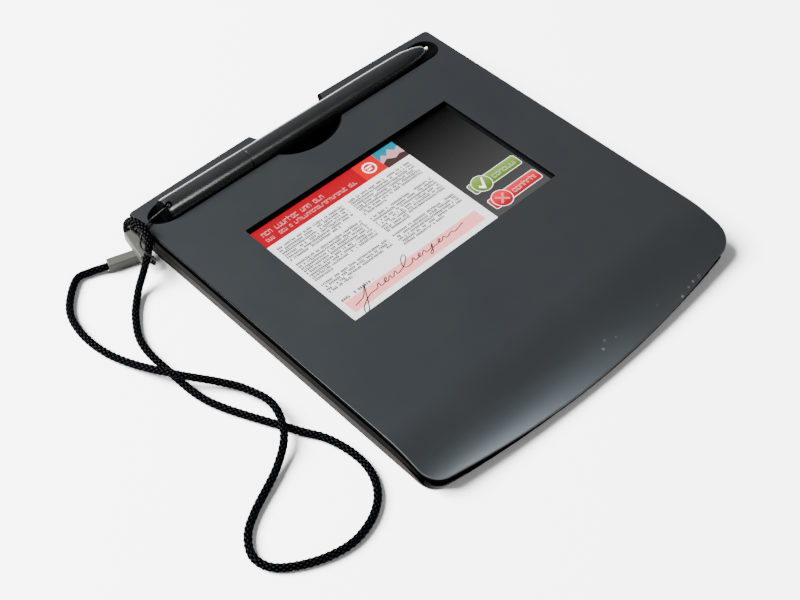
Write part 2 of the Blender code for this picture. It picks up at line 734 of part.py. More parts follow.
def bottom_case():
    """Tray with a floor, side walls that end under the bend, bosses, ribs and foot recesses."""
    case = prism("bottom_case", outline(LOWER_INSET), CASE_BOTTOM, CASE_TOP)
    room = prism("case_room", outline(LOWER_INSET + CASE_WALL), FLOOR_TOP, CASE_TOP + OVERRUN)
    cut(case, room)
    wide = (-PAD_WIDTH, PAD_WIDTH)
    lid = follow_bend(box("above_case", wide, (-PAD_DEPTH, PAD_DEPTH), (CASE_TOP, COVER_TOP + BEND_DROP)))
    front = box("case_front", wide, (-PAD_DEPTH, Y_NOSE + SEAT_GAP), (CASE_BOTTOM - OVERRUN, COVER_TOP))
    cut(case, lid, front)
    for share in RIB_SHARES:
        y_range = around(Y_WINDOW + share * WINDOW_DEPTH, RIB_THICKNESS)
        join(case, box("rib", around(0, WINDOW_WIDTH), y_range, (FLOOR_MIDDLE, SHIELD_UNDER - SEAT_GAP)))
    for x, y in screw_places():
        case_boss(case, x, y)
    for x, y in board_corners():
        join(case, cylinder("board_boss", x, y, BOARD_BOSS_RADIUS, FLOOR_MIDDLE, BOARD_UNDER - SEAT_GAP, 14))
    for x, y in board_screw_places():
        radius = BOARD_SCREW_RADIUS + SEAT_GAP
        cut(case, cylinder("board_hole", x, y, radius, FLOOR_MIDDLE, BOARD_UNDER, 10))
    for x, y in foot_places():
        top = FOOT_HEIGHT + SEAT_GAP
        cut(case, cylinder("foot_recess", x, y, FOOT_RADIUS + SEAT_GAP, CASE_BOTTOM - OVERRUN, top, 24))
    boss_top = FLOOR_TOP + PIN_BOSS_HEIGHT
    join(case, cylinder("pin_boss", X_PIN, Y_SLOT, PIN_BOSS_RADIUS, FLOOR_MIDDLE, boss_top, 14))
    cut(case, cylinder("pin_hole", X_PIN, Y_SLOT, PIN_RADIUS + SEAT_GAP, FLOOR_TOP, COVER_TOP, 12))
    cut(case, socket_passage())
    return finish(case, (0.16, 0.155, 0.145), 0.55)


def case_boss(case, x, y):
    """Screw boss with a counterbore from below, tied to the side wall by a gusset."""
    join(case, cylinder("boss", x, y, BOSS_RADIUS, FLOOR_MIDDLE, CASE_TOP, 20))
    outer = math.copysign(HALF_WIDTH - LOWER_INSET - CASE_WALL / 2, x)
    gusset_top = FLOOR_TOP + (CASE_TOP - FLOOR_TOP) / 2
    join(case, box("gusset", sorted((x, outer)), around(y, RIB_THICKNESS), (FLOOR_MIDDLE, gusset_top)))
    head_room = SCREW_HEAD_SINK + SCREW_HEAD_HEIGHT + SEAT_GAP
    radius = SCREW_HEAD_RADIUS + SEAT_GAP
    cut(case, cylinder("counterbore", x, y, radius, CASE_BOTTOM - OVERRUN, CASE_BOTTOM + head_room, 18))
    cut(case, cylinder("screw_way", x, y, SCREW_RADIUS + SEAT_GAP, CASE_BOTTOM, COVER_TOP, 12))


def case_screw(index, x, y):
    """Pan-head screw with a drive recess, head down in the counterbore."""
    head_bottom = CASE_BOTTOM + SCREW_HEAD_SINK
    head_top = head_bottom + SCREW_HEAD_HEIGHT
    tip = MID_BOTTOM + SCREW_BITE
    profile = (
        (head_bottom, SCREW_DRIVE_RADIUS),
        (head_bottom, SCREW_HEAD_RADIUS),
        (head_top, SCREW_HEAD_RADIUS),
        (head_top, SCREW_RADIUS),
        (tip - SCREW_RADIUS, SCREW_RADIUS),
        (tip, 0),
        (head_bottom + SCREW_DRIVE_DEPTH, 0),
        (head_bottom + SCREW_DRIVE_DEPTH, SCREW_DRIVE_RADIUS),
    )
    screw = turned(f"case_screw_{index}", profile, 14, closed=True)
    screw.location = (x, y, 0)
    return finish(screw, (0.30, 0.30, 0.31), 0.35, 1.0)


def rubber_foot(index, x, y):
    profile = (
        (0, 0),
        (0, FOOT_RADIUS - FOOT_CHAMFER),
        (FOOT_CHAMFER, FOOT_RADIUS),
        (FOOT_HEIGHT, FOOT_RADIUS),
        (FOOT_HEIGHT, 0),
    )
    foot = turned(f"rubber_foot_{index}", profile, 24)
    foot.location = (x, y, 0)
    return finish(foot, (0.02, 0.02, 0.02), 0.8)


def display_stack():
    """Everything between the window and the case's ribs, from the top down."""
    glass = window_prism("display_glass", -GLASS_MARGIN, WINDOW_CORNER_RADIUS / 2, GLASS_UNDER, GLASS_TOP)
    finish(glass, (0.35, 0.36, 0.38), 0.05)
    outer = GASKET_WIDTH - GLASS_MARGIN
    inner = SEAT_GAP - GLASS_MARGIN
    bottom = PANEL_TOP + SEAT_GAP
    gasket = window_prism("glass_gasket", outer, WINDOW_CORNER_RADIUS, bottom, COVER_UNDER - SEAT_GAP)
    cut(gasket, window_prism("gasket_hole", inner, WINDOW_CORNER_RADIUS / 2, PANEL_TOP, COVER_TOP))
    finish(gasket, (0.20, 0.20, 0.21), 0.7)
    panel = window_prism("lcd_panel", PANEL_BORDER, WINDOW_CORNER_RADIUS, PANEL_UNDER, PANEL_TOP)
    finish(panel, (0.75, 0.76, 0.78), 0.4)
    radius = WINDOW_CORNER_RADIUS
    light = window_prism("backlight_unit", BACKLIGHT_BORDER, radius, BACKLIGHT_UNDER, BACKLIGHT_TOP)
    finish(light, (0.85, 0.85, 0.82), 0.5)
    sensor = window_prism("sensor_board", SENSOR_BORDER, radius, SENSOR_UNDER, SENSOR_TOP)
    finish(sensor, (0.05, 0.22, 0.10), 0.5)
    shield = window_prism("shield_plate", SENSOR_BORDER, radius, SHIELD_UNDER, SHIELD_TOP)
    finish(shield, (0.60, 0.61, 0.62), 0.3, 1.0)


def board_corners():
    x = BOARD_WIDTH / 2 - BOARD_SCREW_INSET
    y = BOARD_DEPTH / 2 - BOARD_SCREW_INSET
    return [(sx * x, Y_BOARD + sy * y) for sx, sy in ((-1, -1), (1, 1), (1, -1), (-1, 1))]


def board_screw_places():
    return board_corners()[:2]


def main_board():
    x_range = around(0, BOARD_WIDTH)
    y_range = around(Y_BOARD, BOARD_DEPTH)
    points = rounded_rectangle(x_range, y_range, BOARD_CORNER_RADIUS)
    board = prism("main_board", points, BOARD_UNDER, BOARD_TOP)
    for x, y in board_corners():
        radius = BOARD_SCREW_RADIUS + SEAT_GAP
        cut(board, cylinder("board_passage", x, y, radius, BOARD_UNDER - OVERRUN, BOARD_TOP + OVERRUN, 10))
    return finish(board, (0.04, 0.20, 0.09), 0.45)


def board_screw(index, x, y):
    top = PARTS_UNDER + BOARD_SCREW_HEAD
    profile = (
        (top, 0),
        (top, BOARD_SCREW_HEAD_RADIUS),
        (PARTS_UNDER, BOARD_SCREW_HEAD_RADIUS),
        (PARTS_UNDER, BOARD_SCREW_RADIUS),
        (FLOOR_TOP, BOARD_SCREW_RADIUS),
        (FLOOR_TOP, 0),
    )
    screw = turned(f"board_screw_{index}", profile, 12)
    screw.location = (x, y, 0)
    return finish(screw, (0.55, 0.53, 0.48), 0.35, 1.0)


def board_parts():
    """Chips and the two ribbon connectors on the main board."""
    spread = CHIP_SPREAD_SHARE * BOARD_WIDTH
    y_chips = Y_BOARD - CONNECTOR_DEPTH
    z_range = (PARTS_UNDER, PARTS_UNDER + MAIN_CHIP_HEIGHT)
    y_range = around(y_chips, MAIN_CHIP_SIZE)
    chip = box("main_chip", around(-spread, MAIN_CHIP_SIZE), y_range, z_range)
    finish(chip, (0.02, 0.02, 0.022), 0.5)
    x_range = around(spread, MEMORY_CHIP_WIDTH)
    y_range = around(y_chips, MEMORY_CHIP_DEPTH)
    memory = box("memory_chip", x_range, y_range, (PARTS_UNDER, PARTS_UNDER + MEMORY_CHIP_HEIGHT))
    finish(memory, (0.025, 0.025, 0.025), 0.5)
    for name, x in connector_places():
        y_range = around(Y_CONNECTOR, CONNECTOR_DEPTH)
        z_range = (PARTS_UNDER, PARTS_UNDER + CONNECTOR_HEIGHT)
        finish(box(name, around(x, CONNECTOR_WIDTH), y_range, z_range), (0.70, 0.66, 0.55), 0.5)


def connector_places():
    x = CONNECTOR_SPREAD_SHARE * BOARD_WIDTH
    return (("display_connector", -x), ("sensor_connector", x))


def ribbon(name, x, start, end):
    """Flat ribbon that eases from one (y, z) to another, as a sheet with Solidify."""
    half = CONNECTOR_WIDTH / 2 - RIBBON_BORDER
    mesh = bpy.data.meshes.new(name)
    points = []
    for i in range(RIBBON_STEPS + 1):
        share = i / RIBBON_STEPS
        eased = share * share * (3 - 2 * share)
        y = start[0] + (end[0] - start[0]) * share
        z = start[1] + (end[1] - start[1]) * eased
        points += [(x - half, y, z), (x + half, y, z)]
    faces = [(2 * i, 2 * i + 1, 2 * i + 3, 2 * i + 2) for i in range(RIBBON_STEPS)]
    mesh.from_pydata(points, [], faces)
    strip = put(name, mesh, PARTS)
    solid = strip.modifiers.new("thickness", "SOLIDIFY")
    solid.thickness = RIBBON_THICKNESS
    solid.offset = 0
    return finish(strip, (0.45, 0.24, 0.06), 0.4)


def ribbons():
    y_end = Y_CONNECTOR + CONNECTOR_DEPTH / 2 + SEAT_GAP
    z_end = PARTS_UNDER + CONNECTOR_HEIGHT / 2
    y_panel = Y_WINDOW - WINDOW_DEPTH / 2 - PANEL_BORDER - SEAT_GAP
    (_, x_display), (_, x_sensor) = connector_places()
    ribbon("display_ribbon", x_display, (y_panel, PANEL_UNDER + PANEL_THICKNESS / 3), (y_end, z_end))
    y_sensor = Y_SENSOR_FRONT - SEAT_GAP
    ribbon("sensor_ribbon", x_sensor, (y_sensor, SENSOR_UNDER + SENSOR_THICKNESS / 2), (y_end, z_end))


def data_socket():
    """Metal shell with a plastic tongue's room, open at the back."""
    x_range, y_range, z_range = socket_range(0)
    shell = box("data_socket", x_range, y_range, z_range)
    room = [(low + SOCKET_SHELL, high - SOCKET_SHELL) for low, high in (x_range, z_range)]
    inner = box("socket_room", room[0], (y_range[0] + SOCKET_SHELL, y_range[1] + OVERRUN), room[1])
    middle = (z_range[0] + z_range[1]) / 2
    tongue_x = (room[0][0] + SOCKET_SHELL, room[0][1] - SOCKET_SHELL)
    tongue_y = (y_range[0] + SOCKET_SHELL / 2, y_range[1] - SOCKET_TONGUE_SETBACK)
    tongue = box("socket_tongue", tongue_x, tongue_y, around(middle, SOCKET_TONGUE))
    cut(shell, inner)
    join(shell, tongue)
    return finish(shell, (0.62, 0.62, 0.60), 0.3, 1.0)


def anchor_pin():
    bottom = FLOOR_TOP + SEAT_GAP
    pin = cylinder("tether_anchor_pin", X_PIN, Y_SLOT, PIN_RADIUS, bottom, bottom + PIN_HEIGHT, 14)
    return finish(pin, (0.6, 0.6, 0.6), 0.3, 1.0)


def rear_profile():
    """Outer (x, radius) points of the rear barrel, from the tail to the seam."""
    length = X_SEAM - X_PEN_TAIL
    return [(X_PEN_TAIL + share * length, reach * PEN_RADIUS) for share, reach in REAR_PROFILE_SHARES]


def front_profile(wall):
    """(x, radius) points of the front barrel from the nose to the seam, moved in by wall."""
    length = X_MOUTH - X_SEAM - SEAT_GAP
    return [(X_MOUTH - share * length, reach * PEN_RADIUS - wall) for share, reach in FRONT_PROFILE_SHARES]


def pen_part(name, profile, closed=True):
    """Turns a pen part about the pen's axis, its profile given as (x, radius) points."""
    part = turned(name, profile, PEN_STEPS, closed)
    part.data.transform(Matrix.Rotation(math.pi / 2, 4, "Y"))
    part.location = (0, Y_PEN, Z_PEN)
    return part


def pen_rear_barrel():
    """Closed rear half of the pen, with a keyhole through its tail for the thread."""
    outer = rear_profile()
    bore_end = X_PEN_TAIL + PEN_TAIL_SOLID
    profile = [(X_PEN_TAIL, 0), *outer, (X_SEAM, PEN_BORE), (bore_end, PEN_BORE), (bore_end, 0)]
    barrel = pen_part("pen_rear_barrel", profile, closed=False)
    x_hole = X_PEN_TAIL + EYELET_FROM_TAIL
    tilt = Matrix.Rotation(EYELET_TILT, 4, "X")
    place = Matrix.Translation((x_hole, Y_PEN, Z_PEN))
    hole = cylinder("eyelet", 0, 0, EYELET_RADIUS, -PEN_RADIUS - OVERRUN, PEN_RADIUS + OVERRUN, 16)
    slot_bottom = PEN_RADIUS * (1 - EYELET_SLOT_DEPTH_SHARE)
    slot_end = EYELET_FROM_TAIL + OVERRUN
    slot = box("eyelet_slot", (-slot_end, 0), around(0, EYELET_SLOT), (slot_bottom, PEN_RADIUS + OVERRUN))
    for cutter in (hole, slot):
        cutter.data.transform(place @ tilt)
        cut(barrel, cutter)
    return finish(barrel, (0.045, 0.046, 0.052), 0.28)


def pen_front_barrel():
    """Front half: a spigot into the rear barrel, a slim taper and the bore for the nib."""
    outer = front_profile(0)
    nib_bore = NIB_RADIUS + SEAT_GAP
    inner = [point for point in front_profile(PEN_WALL) if point[1] > nib_bore][1:]
    spigot_end = X_SEAM - SPIGOT_LENGTH
    spigot_bore = PEN_BORE - SEAT_GAP - SPIGOT_WALL
    spigot = PEN_BORE - SEAT_GAP
    seam = X_SEAM + SEAT_GAP
    profile = [(X_MOUTH, nib_bore + NIB_MOUTH_RIM), *outer, (seam, spigot), (spigot_end, spigot)]
    profile += [(spigot_end, spigot_bore), (seam + SPIGOT_WALL, spigot_bore), (seam + SPIGOT_WALL, PEN_BORE)]
    profile += [point for point in reversed(inner) if point[0] > seam + SPIGOT_WALL]
    profile += [(inner[0][0], nib_bore), (X_MOUTH, nib_bore)]
    return finish(pen_part("pen_front_barrel", profile), (0.045, 0.046, 0.052), 0.28)


def pen_insides():
    """Pressure sensor behind the nib, the ferrite core and coil round it, and the circuit board."""
    cup_front = X_NIB_END - NIB_TRAVEL
    cup_back = cup_front - SENSOR_CUP_LENGTH
    cup_radius = PEN_BORE - SENSOR_CUP_CLEARANCE
    cup = [(cup_back, 0), (cup_back, cup_radius), (cup_front, cup_radius), (cup_front, 0)]
    finish(pen_part("pressure_sensor", cup, closed=False), (0.08, 0.08, 0.09), 0.5)
    core_back = X_NIB_END + CORE_FROM_SENSOR
    core_front = core_back + CORE_SHARE * PEN_LENGTH
    core_bore = NIB_RADIUS + SEAT_GAP
    core_radius = core_bore + CORE_WALL
    core = [
        (core_back, core_bore),
        (core_back, core_radius),
        (core_front, core_radius),
        (core_front, core_bore),
    ]
    finish(pen_part("ferrite_core", core), (0.05, 0.05, 0.055), 0.6)
    coil_front = core_front - COIL_FROM_CORE_END
    coil_back = coil_front - COIL_SHARE * PEN_LENGTH
    coil_bore = core_radius + SEAT_GAP
    coil_radius = coil_bore + COIL_WALL
    waist = coil_radius - COIL_FLANGE
    coil = [
        (coil_back, coil_bore),
        (coil_back, coil_radius),
        (coil_back + COIL_FLANGE, coil_radius),
        (coil_back + COIL_FLANGE, waist),
        (coil_front - COIL_FLANGE, waist),
        (coil_front - COIL_FLANGE, coil_radius),
        (coil_front, coil_radius),
        (coil_front, coil_bore),
    ]
    finish(pen_part("pen_coil", coil), (0.60, 0.28, 0.10), 0.35, 1.0)
    board_end = cup_back - SEAT_GAP
    board = box(
        "pen_circuit_board",
        (board_end - PEN_BOARD_SHARE * PEN_LENGTH, board_end),
        around(Y_PEN, 2 * PEN_BOARD_HALF_WIDTH),
        around(Z_PEN, PEN_BOARD_THICKNESS),
    )
    finish(board, (0.04, 0.20, 0.09), 0.45)


def pen_nib():
    """Slim rod with a rounded tip, free to slide a little along the pen's axis."""
    round_start = X_PEN_TIP - NIB_RADIUS
    tip = [
        (round_start + NIB_RADIUS * math.sin(angle), NIB_RADIUS * math.cos(angle))
        for angle in (0, math.pi / 6, math.pi / 3)
    ]
    nib = pen_part("pen_nib", [(X_NIB_END, 0), (X_NIB_END, NIB_RADIUS), *tip, (X_PEN_TIP, 0)], closed=False)
    return finish(nib, (0.80, 0.80, 0.78), 0.4)


def placed(point_mm):
    """The place of a route's point, measured from the pad's left back corner."""
    return Vector(point_mm) * MM + ROUTE_START


def smooth_route(points_mm, spacing):
    """Points on a smooth curve through hand-chosen points in millimetres, with straight end runs."""
    route = [placed(point) for point in points_mm]
    dense = []
    for a, b, c, d in zip(route, route[1:], route[2:], route[3:]):
        for step in range(SPLINE_STEPS):
            t = step / SPLINE_STEPS
            bend = (b - c) * 3 + d - a
            dense.append(b + ((c - a) * t + (2 * a - 5 * b + 4 * c - d) * t**2 + bend * t**3) / 2)
    dense.append(route[-2])
    return [route[0], *spaced(dense, spacing), route[-1]]


def spaced(dense, spacing):
    """Keeps a point after each spacing, or sooner where the curve has turned by the cord's turn."""
    kept = [dense[0]]
    heading = dense[1] - dense[0]
    length = 0
    for before, point in zip(dense, dense[1:-1]):
        length += (point - before).length
        if length >= spacing or heading.angle(point - before) >= CORD_TURN:
            kept.append(point)
            heading = point - before
            length = 0
    return [*kept, dense[-1]]


def tube(name, points, radius):
    """Round cord or thread along points, as a curve with filled ends."""
    curve = bpy.data.curves.new(name, "CURVE")
    curve.dimensions = "3D"
    curve.bevel_depth = radius
    curve.bevel_resolution = 2
    curve.use_fill_caps = True
    spline = curve.splines.new("POLY")
    spline.points.add(len(points) - 1)
    for target, point in zip(spline.points, points):
        target.co = (*point, 1)
    return put(name, curve, PARTS)


def sleeve(name, start, end):
    """Square moulded sleeve from one end's centre to the other's, with slightly eased edges."""
    along = end - start
    shape = bmesh.new()
    bmesh.ops.create_cube(shape, size=1)
    size = Matrix.Diagonal((along.length, SLEEVE_SIDE, SLEEVE_SIDE, 1))
    bmesh.ops.transform(shape, matrix=size, verts=shape.verts)
    bmesh.ops.bevel(shape, geom=shape.edges, offset=SLEEVE_EDGE, segments=1, profile=0.5, affect="EDGES")
    obj = from_bmesh(name, shape)
    obj.location = (start + end) / 2
    obj.rotation_euler = (0, -math.asin(along.z / along.length), math.atan2(along.y, along.x))
    return finish(obj, (0.30, 0.30, 0.26), 0.55)


def tether():
    """Cord from the lower sleeve, round two loops and over into the upper sleeve, with its threads."""
    cord_points = smooth_route(CORD_ROUTE_MM, CORD_SPACING)
    finish(tube("tether_cord", cord_points, CORD_RADIUS), (0.02, 0.02, 0.022), 0.8)
    level = SLEEVE_SIDE / 2 + SLEEVE_LIFT
    lower = [placed((x, y, level / MM)) for x, y in LOWER_SLEEVE_MM]
    sleeve("tether_sleeve_1", *lower)
    upper = [placed(point) for point in UPPER_SLEEVE_MM]
    sleeve("tether_sleeve_2", *upper)
    for name, route in (("pen_thread", PEN_THREAD_MM), ("anchor_thread", ANCHOR_THREAD_MM)):
        finish(tube(name, smooth_route(route, THREAD_SPACING), THREAD_RADIUS), (0.02, 0.02, 0.022), 0.5)
    bead = ball("thread_bead", placed(BEAD_MM), (BEAD_RADIUS,) * 3)
    finish(bead, (0.35, 0.35, 0.33), 0.4)
    knot = ball("thread_end_knot", placed(END_KNOT_MM), (END_KNOT_RADIUS,) * 3)
    finish(knot, (0.02, 0.02, 0.022), 0.6)


def eyelet_point(x, height):
    """A point over the pen's axis in the tilted plane of the keyhole."""
    return Vector((x, Y_PEN - height * math.sin(EYELET_TILT), Z_PEN + height * math.cos(EYELET_TILT)))


def pen_thread_knot():
    """Knot in the pen's keyhole, with a short tail out through the slot."""
    centre = eyelet_point(X_PEN_TAIL + EYELET_FROM_TAIL, PEN_RADIUS - KNOT_RADIUS)
    end = eyelet_point(X_PEN_TAIL - KNOT_TAIL_REACH, KNOT_TAIL_HEIGHT)
    tail = realise(tube("knot_tail", [centre, end], THREAD_RADIUS))
    knot = ball("pen_thread_knot", centre, (KNOT_RADIUS,) * 3)
    return finish(join(knot, tail), (0.02, 0.02, 0.022), 0.6)


def pen_bodies():
    """Parents the pen's pieces to an empty on the pen's axis, and the nib to one at its tip."""
    pen_axis = put("pen_axis", None, PARTS)
    pen_axis.location = (0, Y_PEN, Z_PEN)
    names = ("pen_rear_barrel", "pen_front_barrel", "pen_circuit_board", "pressure_sensor")
    for name in (*names, "ferrite_core", "pen_coil", "pen_thread_knot", "pen_nib"):
        part = bpy.data.objects[name]
        part.parent = pen_axis
        part.matrix_parent_inverse = Matrix.Translation(-pen_axis.location)


def build():
    top_cover()
    mid_frame()
    bottom_case()
    for index, place in enumerate(screw_places(), 1):
        case_screw(index, *place)
    for index, place in enumerate(foot_places(), 1):
        rubber_foot(index, *place)
    display_stack()
    main_board()
    for index, place in enumerate(board_screw_places(), 1):
        board_screw(index, *place)
    board_parts()
    ribbons()
    data_socket()
    anchor_pin()
    pen_rear_barrel()
    pen_front_barrel()
    pen_insides()
    pen_nib()
    tether()
    pen_thread_knot()
    pen_bodies()


build()
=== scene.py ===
"""The looks of a counter-top signature pad with its pen and tether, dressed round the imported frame."""

import math

import bmesh
import bpy
from mathutils import Matrix, Vector, kdtree


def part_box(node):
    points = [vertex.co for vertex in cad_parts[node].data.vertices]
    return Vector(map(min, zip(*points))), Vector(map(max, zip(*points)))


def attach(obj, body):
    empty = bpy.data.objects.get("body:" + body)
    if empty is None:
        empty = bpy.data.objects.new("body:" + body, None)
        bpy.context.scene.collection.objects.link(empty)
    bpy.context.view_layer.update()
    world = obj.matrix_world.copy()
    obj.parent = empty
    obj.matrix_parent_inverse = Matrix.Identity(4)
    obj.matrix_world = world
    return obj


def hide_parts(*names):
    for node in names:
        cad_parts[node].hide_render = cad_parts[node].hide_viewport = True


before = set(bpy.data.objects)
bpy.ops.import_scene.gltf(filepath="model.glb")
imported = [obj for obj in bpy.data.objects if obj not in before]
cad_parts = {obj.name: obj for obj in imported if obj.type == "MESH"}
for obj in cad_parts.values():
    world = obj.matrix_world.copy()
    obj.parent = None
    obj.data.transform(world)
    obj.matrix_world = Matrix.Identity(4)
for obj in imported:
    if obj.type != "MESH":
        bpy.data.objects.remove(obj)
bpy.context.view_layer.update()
scene = bpy.context.scene

# Camera
# It looks down on the pad from its front left corner, from the place that the photograph's straight
# edges give, through a short telephoto lens.
CAMERA_PLACE = Vector((-0.24630, -0.25046, 0.37758))
CAMERA_RIGHT = Vector((0.72543, -0.68809, -0.01685))
CAMERA_UP = Vector((0.52921, 0.54194, 0.65287))
bpy.ops.object.camera_add(location=CAMERA_PLACE)
camera = bpy.context.object
camera.name = "camera"
turn = Matrix((CAMERA_RIGHT, CAMERA_UP, CAMERA_RIGHT.cross(CAMERA_UP))).transposed()
camera.rotation_euler = turn.to_euler()
camera.data.sensor_width = 36
camera.data.lens = 61.19
camera.data.clip_start = 0.01
scene.camera = camera

# Tether cord
# A braided black cord, 3 mm thick, that lies in two loops on the table and hooks over into the upper
# sleeve. Its braid is raised on the tube itself, and its yarns are in the material.
MM = 0.001
CORD_RADIUS = 0.0015
CORD_STEP = 0.00026
BRAID_PLAITS = 6
BRAID_ROW_MM = 1.05
BRAID_RELIEF, BRAID_SINK = 0.00022, 0.00014
CORD_ROUTE_MM = (
    (-94.65, 77.2, 2.2),
    (-96.6, 77.85, 2.15),
    (-101.2, 79.9, 1.7),
    (-107.4, 80.3, 1.6),
    (-116.9, 70.6, 1.6),
    (-120.4, 59.7, 1.6),
    (-120.0, 46.6, 1.6),
    (-116.2, 33.5, 2.3),
    (-108.9, 16.4, 5.3),
    (-99.8, 5.2, 3.4),
    (-94.7, -3.7, 3.1),
    (-92.9, -16.5, 5.0),
    (-97.6, -28.1, 4.6),
    (-107.5, -35.9, 2.4),
    (-123.2, -43.5, 1.6),
    (-130.8, -49.1, 1.6),
    (-134.4, -56.7, 1.6),
    (-131.2, -64.4, 1.6),
    (-120.1, -71.3, 1.6),
    (-107.7, -74.0, 1.6),
    (-96.0, -70.8, 1.6),
    (-88.3, -63.5, 1.6),
    (-85.2, -53.0, 1.6),
    (-87.2, -39.4, 1.6),
    (-93.8, -26.4, 1.6),
    (-106.2, 0.4, 1.6),
    (-108.4, 20.0, 1.6),
    (-108.0, 37.6, 1.6),
    (-102.4, 49.7, 1.6),
    (-94.4, 58.8, 2.5),
    (-88.2, 62.3, 7.1),
    (-82.3, 65.9, 12.4),
    (-80.1, 70.2, 15.7),
    (-79.9, 74.9, 16.1),
    (-80.2, 79.4, 14.5),
    (-80.8, 81.8, 11.7),
    (-81.4, 81.8, 9.6),
    (-81.91, 80.98, 8.63),
    (-82.15, 79.49, 8.45),
)


def smooth_line(points_mm, step):
    """Evenly spaced points, about step apart, on the smooth curve through a route's points."""
    route = [Vector(point) * MM for point in points_mm]
    dense = [route[0]]
    for a, b, c, d in zip(route, route[1:], route[2:], route[3:]):
        for i in range(24):
            t = i / 24
            bend = (b - c) * 3 + d - a
            dense.append(b + ((c - a) * t + (2 * a - 5 * b + 4 * c - d) * t**2 + bend * t**3) / 2)
    dense += route[-2:]
    reach = [0.0]
    for a, b in zip(dense, dense[1:]):
        reach.append(reach[-1] + (b - a).length)
    count = round(reach[-1] / step)
    line, at = [], 0
    for i in range(count + 1):
        target = reach[-1] * i / count
        while at < len(dense) - 2 and reach[at + 1] < target:
            at += 1
        share = (target - reach[at]) / (reach[at + 1] - reach[at])
        line.append(dense[at].lerp(dense[at + 1], share))
    return line


def cord_tube(name, line, radius, sides, relief):
    """A tube round a line. relief(turn, reach) gives how far the skin stands out there."""
    shape = bmesh.new()
    uv = shape.loops.layers.uv.new("cord")
    up = Vector((0, 0, 1))
    rings, reaches, reach = [], [], 0.0
    for i, point in enumerate(line):
        ahead = (line[min(i + 1, len(line) - 1)] - line[max(i - 1, 0)]).normalized()
        up = (up - ahead * up.dot(ahead)).normalized()
        side = ahead.cross(up)
        reach += (point - line[max(i - 1, 0)]).length
        ring = []
        for k in range(sides):
            angle = 2 * math.pi * k / sides
            out = side * math.cos(angle) + up * math.sin(angle)
            ring.append(shape.verts.new(point + out * (radius + relief(angle, reach))))
        rings.append(ring)
        reaches.append(reach)
    for i, (ring, following) in enumerate(zip(rings, rings[1:])):
        for k in range(sides):
            n = (k + 1) % sides
            face = shape.faces.new((ring[k], ring[n], following[n], following[k]))
            face.smooth = True
            places = ((k, i), (k + 1, i), (k + 1, i + 1), (k, i + 1))
            for loop, (turned, row) in zip(face.loops, places):
                loop[uv].uv = (turned / sides, reaches[row] / MM)
    for ring in (rings[0], rings[-1]):
        shape.faces.new(ring)
    bmesh.ops.recalc_face_normals(shape, faces=shape.faces)
    mesh = bpy.data.meshes.new(name)
    shape.to_mesh(mesh)
    shape.free()
    made = bpy.data.objects.new(name, mesh)
    scene.collection.objects.link(made)
    return made


def add_node(tree, kind, values=None, **settings):
    """A node of the given kind, with its settings, and with its sockets set or joined up."""
    made = tree.nodes.new("ShaderNode" + kind)
    for name, value in settings.items():
        setattr(made, name, value)
    for name, value in (values or {}).items():
        if isinstance(value, bpy.types.NodeSocket):
            tree.links.new(value, made.inputs[name])
        else:
            made.inputs[name].default_value = value
    return made


def own_place(tree):
    """The place on the surface, in the object's own coordinates."""
    return add_node(tree, "TexCoord").outputs["Object"]


def parts_of(tree, vector):
    """The three parts of a vector or colour, called X, Y and Z."""
    return add_node(tree, "SeparateXYZ", {0: vector}).outputs


def noise(tree, place, scale, detail=2.0):
    """A noise from 0 to 1, mostly near its middle."""
    return add_node(tree, "TexNoise", {"Vector": place, "Scale": scale, "Detail": detail}).outputs["Fac"]


def maths(tree, operation, first, second=0.0, *more):
    """Math nodes that take their values together two by two."""
    result = add_node(tree, "Math", {0: first, 1: second}, operation=operation).outputs[0]
    return maths(tree, operation, result, *more) if more else result


def ramp(tree, value, low, high, to_low=0.0, to_high=1.0):
    """Carries a value's range from low to high over to another range."""
    settings = {"Value": value, "From Min": low, "From Max": high, "To Min": to_low, "To Max": to_high}
    return add_node(tree, "MapRange", settings).outputs["Result"]


def tinted(tree, share, first, second):
    """One colour or the other, by a mask."""
    mix = add_node(tree, "Mix", {0: share}, data_type="RGBA")
    for place, colour in ((6, first), (7, second)):
        if isinstance(colour, bpy.types.NodeSocket):
            tree.links.new(colour, mix.inputs[place])
        else:
            mix.inputs[place].default_value = (*colour, 1.0)
    return mix.outputs[2]


def new_finish(name, colour, roughness, metallic=0.0):
    """A material whose shader holds its plain values, with its node tree and its shader."""
    made = bpy.data.materials.new(name)
    made.use_nodes = True
    tree = made.node_tree
    shader = tree.nodes["Principled BSDF"]
    shader.inputs["Base Color"].default_value = (*colour, 1.0)
    shader.inputs["Roughness"].default_value = roughness
    shader.inputs["Metallic"].default_value = metallic
    return made, tree, shader


def feed(shader, name, value):
    """Joins a value that changes over the surface to one of the shader's sockets."""
    shader.id_data.links.new(value, shader.inputs[name])


def raised(shader, height, distance):
    """Relief of a height field, distance high."""
    bump = add_node(shader.id_data, "Bump", {"Height": height, "Distance": distance})
    feed(shader, "Normal", bump.outputs["Normal"])


def wear(piece, finish):
    """Gives a piece one finish all over."""
    piece.data.materials.clear()
    piece.data.materials.append(finish)
    for face in piece.data.polygons:
        face.material_index = 0


def braid(angle, reach):
    """Height of the braid's plaits: six round the cord, in rows along it."""
    plait = math.cos(BRAID_PLAITS * angle) * math.cos(math.pi * reach / (BRAID_ROW_MM * MM))
    return BRAID_RELIEF * plait


